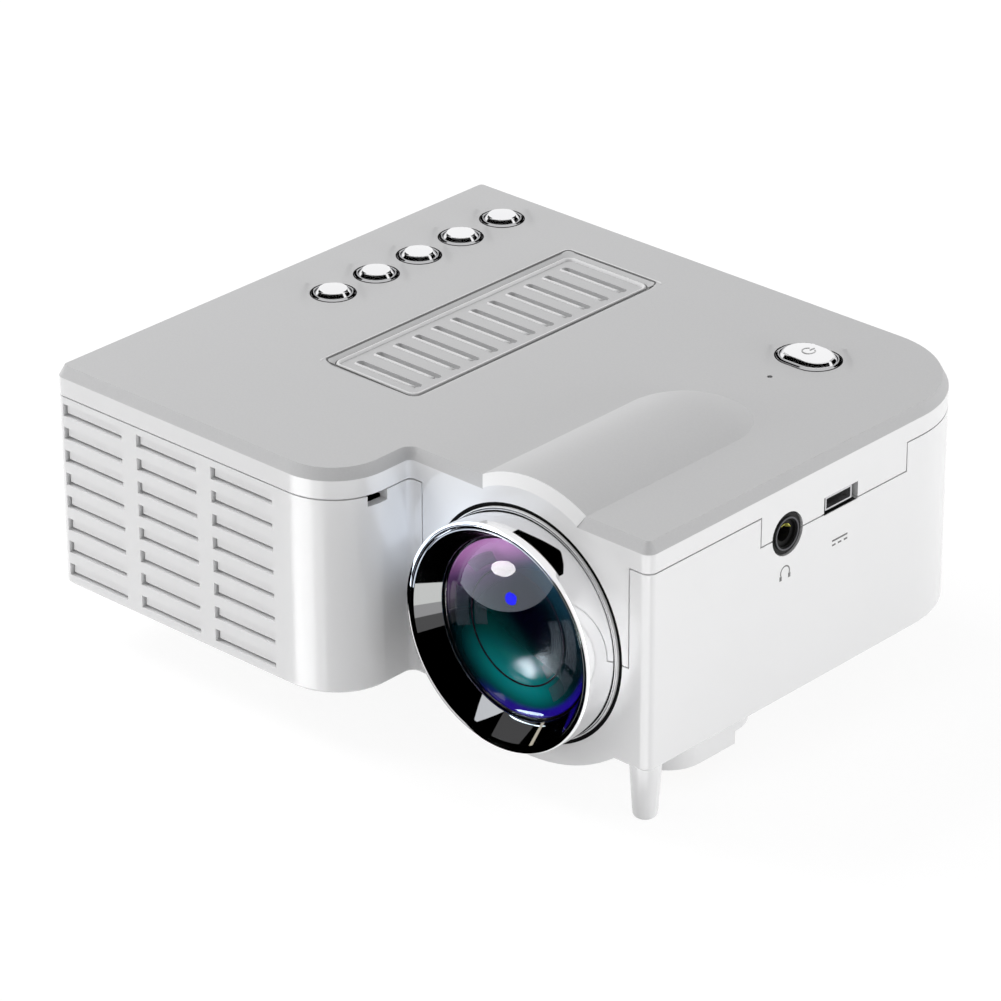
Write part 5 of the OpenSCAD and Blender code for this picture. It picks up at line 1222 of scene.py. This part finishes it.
for name, inner, outer, start, end, strength, colour, taper in (
        ("hood_light", HOOD_IN, HOOD_OUT, 169, 182, 1.5, rgb(0.98, 1.0, 0.96), 0.0),
        ("hood_half_light", HOOD_IN, HOOD_OUT, 182, 189, 0.75, rgb(1.0), 0.0),
        ("hood_last_light", HOOD_IN, HOOD_OUT, 189, 197, 0.2, rgb(1.0), 0.0),
        ("hood_silver", (17.9, 4.95), (20.3, 1.0), 244, 262, 1.5, rgb(0.95, 0.98, 1.0), 0.9),
        ("hood_sheen", HOOD_IN, HOOD_OUT, 262, 288, 0.16, rgb(1.0), 0.3),
        ("hood_cream", HOOD_IN, HOOD_OUT, 292, 294.5, 1.2, rgb(1.0, 0.93, 0.75), 0.0)):
    card(name, bounced(*on_cone(inner, outer, start, end, 20, taper), 1.2), strength, colour,
         wrap=False, far=1.5)
print("cards before the ring, its lip and the hood")


# %% Cards for the keys and the corners
def off_camera(angle):
    """The level direction at an angle from the camera's, towards the picture's right."""
    a = np.radians(angle)
    level_back = np.array([level_right[1], -level_right[0], 0.0])
    return np.cos(a)[..., None] * level_back + np.sin(a)[..., None] * level_right


def cone_card(place, straight, inner, outer, start, end, narrow):
    """The card of an upright cone between two (r, z) rims, narrower with the square of the angle."""
    angle = np.linspace(start, end, 24)
    way = off_camera(angle)[:, None, :]
    least = (-0.05 + narrow * (angle / 80) ** 2)[:, None]
    share = least + (1.1 - least) * np.linspace(0, 1, 5)[None, :]
    r = (POWER_END - KEY_R if straight else 0.0) + inner[0] + (outer[0] - inner[0]) * share
    x = r * way[..., 0] + straight * np.sign(way[..., 0])
    points = upright(*place)(x, r * way[..., 1], inner[1] + (outer[1] - inner[1]) * share)
    slope = math.atan2(outer[0] - inner[0], inner[1] - outer[1])
    normals = way * math.cos(slope) + [0, 0, math.sin(slope)]
    return bounced(points, np.broadcast_to(normals, points.shape), 4.0)


key_cards = []
SHOULDER = (CROWN_R, crown_edge), (KEY_R, crown_edge - SHOULDER_DROP)
SLOPE = (3.76, 57.34), (4.34, 57.01)
for place, straight in [(spot, 0.0) for spot in KEY_PLACES] + [((POWER_X, POWER_Y), POWER_STRAIGHT)]:
    for start, end in ((-64, 40), (50, 76)):
        key_cards.append(cone_card(place, straight, *SHOULDER, start, end, 0.5))
    for start, end in ((-105, -42), (44, 105)):
        key_cards.append(cone_card(place, straight, *SLOPE, start, end, 0.0))
card("key_flags", key_cards, 0.0, wrap=False, far=4.5)


def corner_card(name, centre, radius, start, end, heights, strength):
    """A card close before an upright rounded corner, where n = (sin a, -cos a, 0)."""
    a = np.radians(np.linspace(start, end, 12))[:, None]
    z = np.linspace(*heights, 8)[None, :]
    normals = np.stack(np.broadcast_arrays(np.sin(a), -np.cos(a), 0 * z), -1)
    points = (np.array([*centre, 0.0]) + normals * radius * MM
              + np.stack(np.broadcast_arrays(0 * a, 0 * a, z * MM), -1))
    card(name, bounced(points, normals, 10.0), strength, wrap=False, far=13)


corner_card("left_corner_light", (-0.00272, -0.04828), 10.72, 2, 22, (6.0, 58.0), 7.0)
corner_card("left_corner_fade", (-0.00272, -0.04828), 10.72, 22, 33, (6.0, 58.0), 3.5)
corner_card("right_corner_light", (0.06456, -0.03836), 1.44, 5, 50, (6.0, 58.0), 5.0)
print("cards stand round the lens, the ring, the keys and the corners")

# %% [markdown]
# ## Finish
#
# The visual model's box is printed, in mm.

# %% Sizes and the last line
low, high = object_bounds()
print("visual box in mm", [round(v / MM, 1) for v in (*low, *high)])
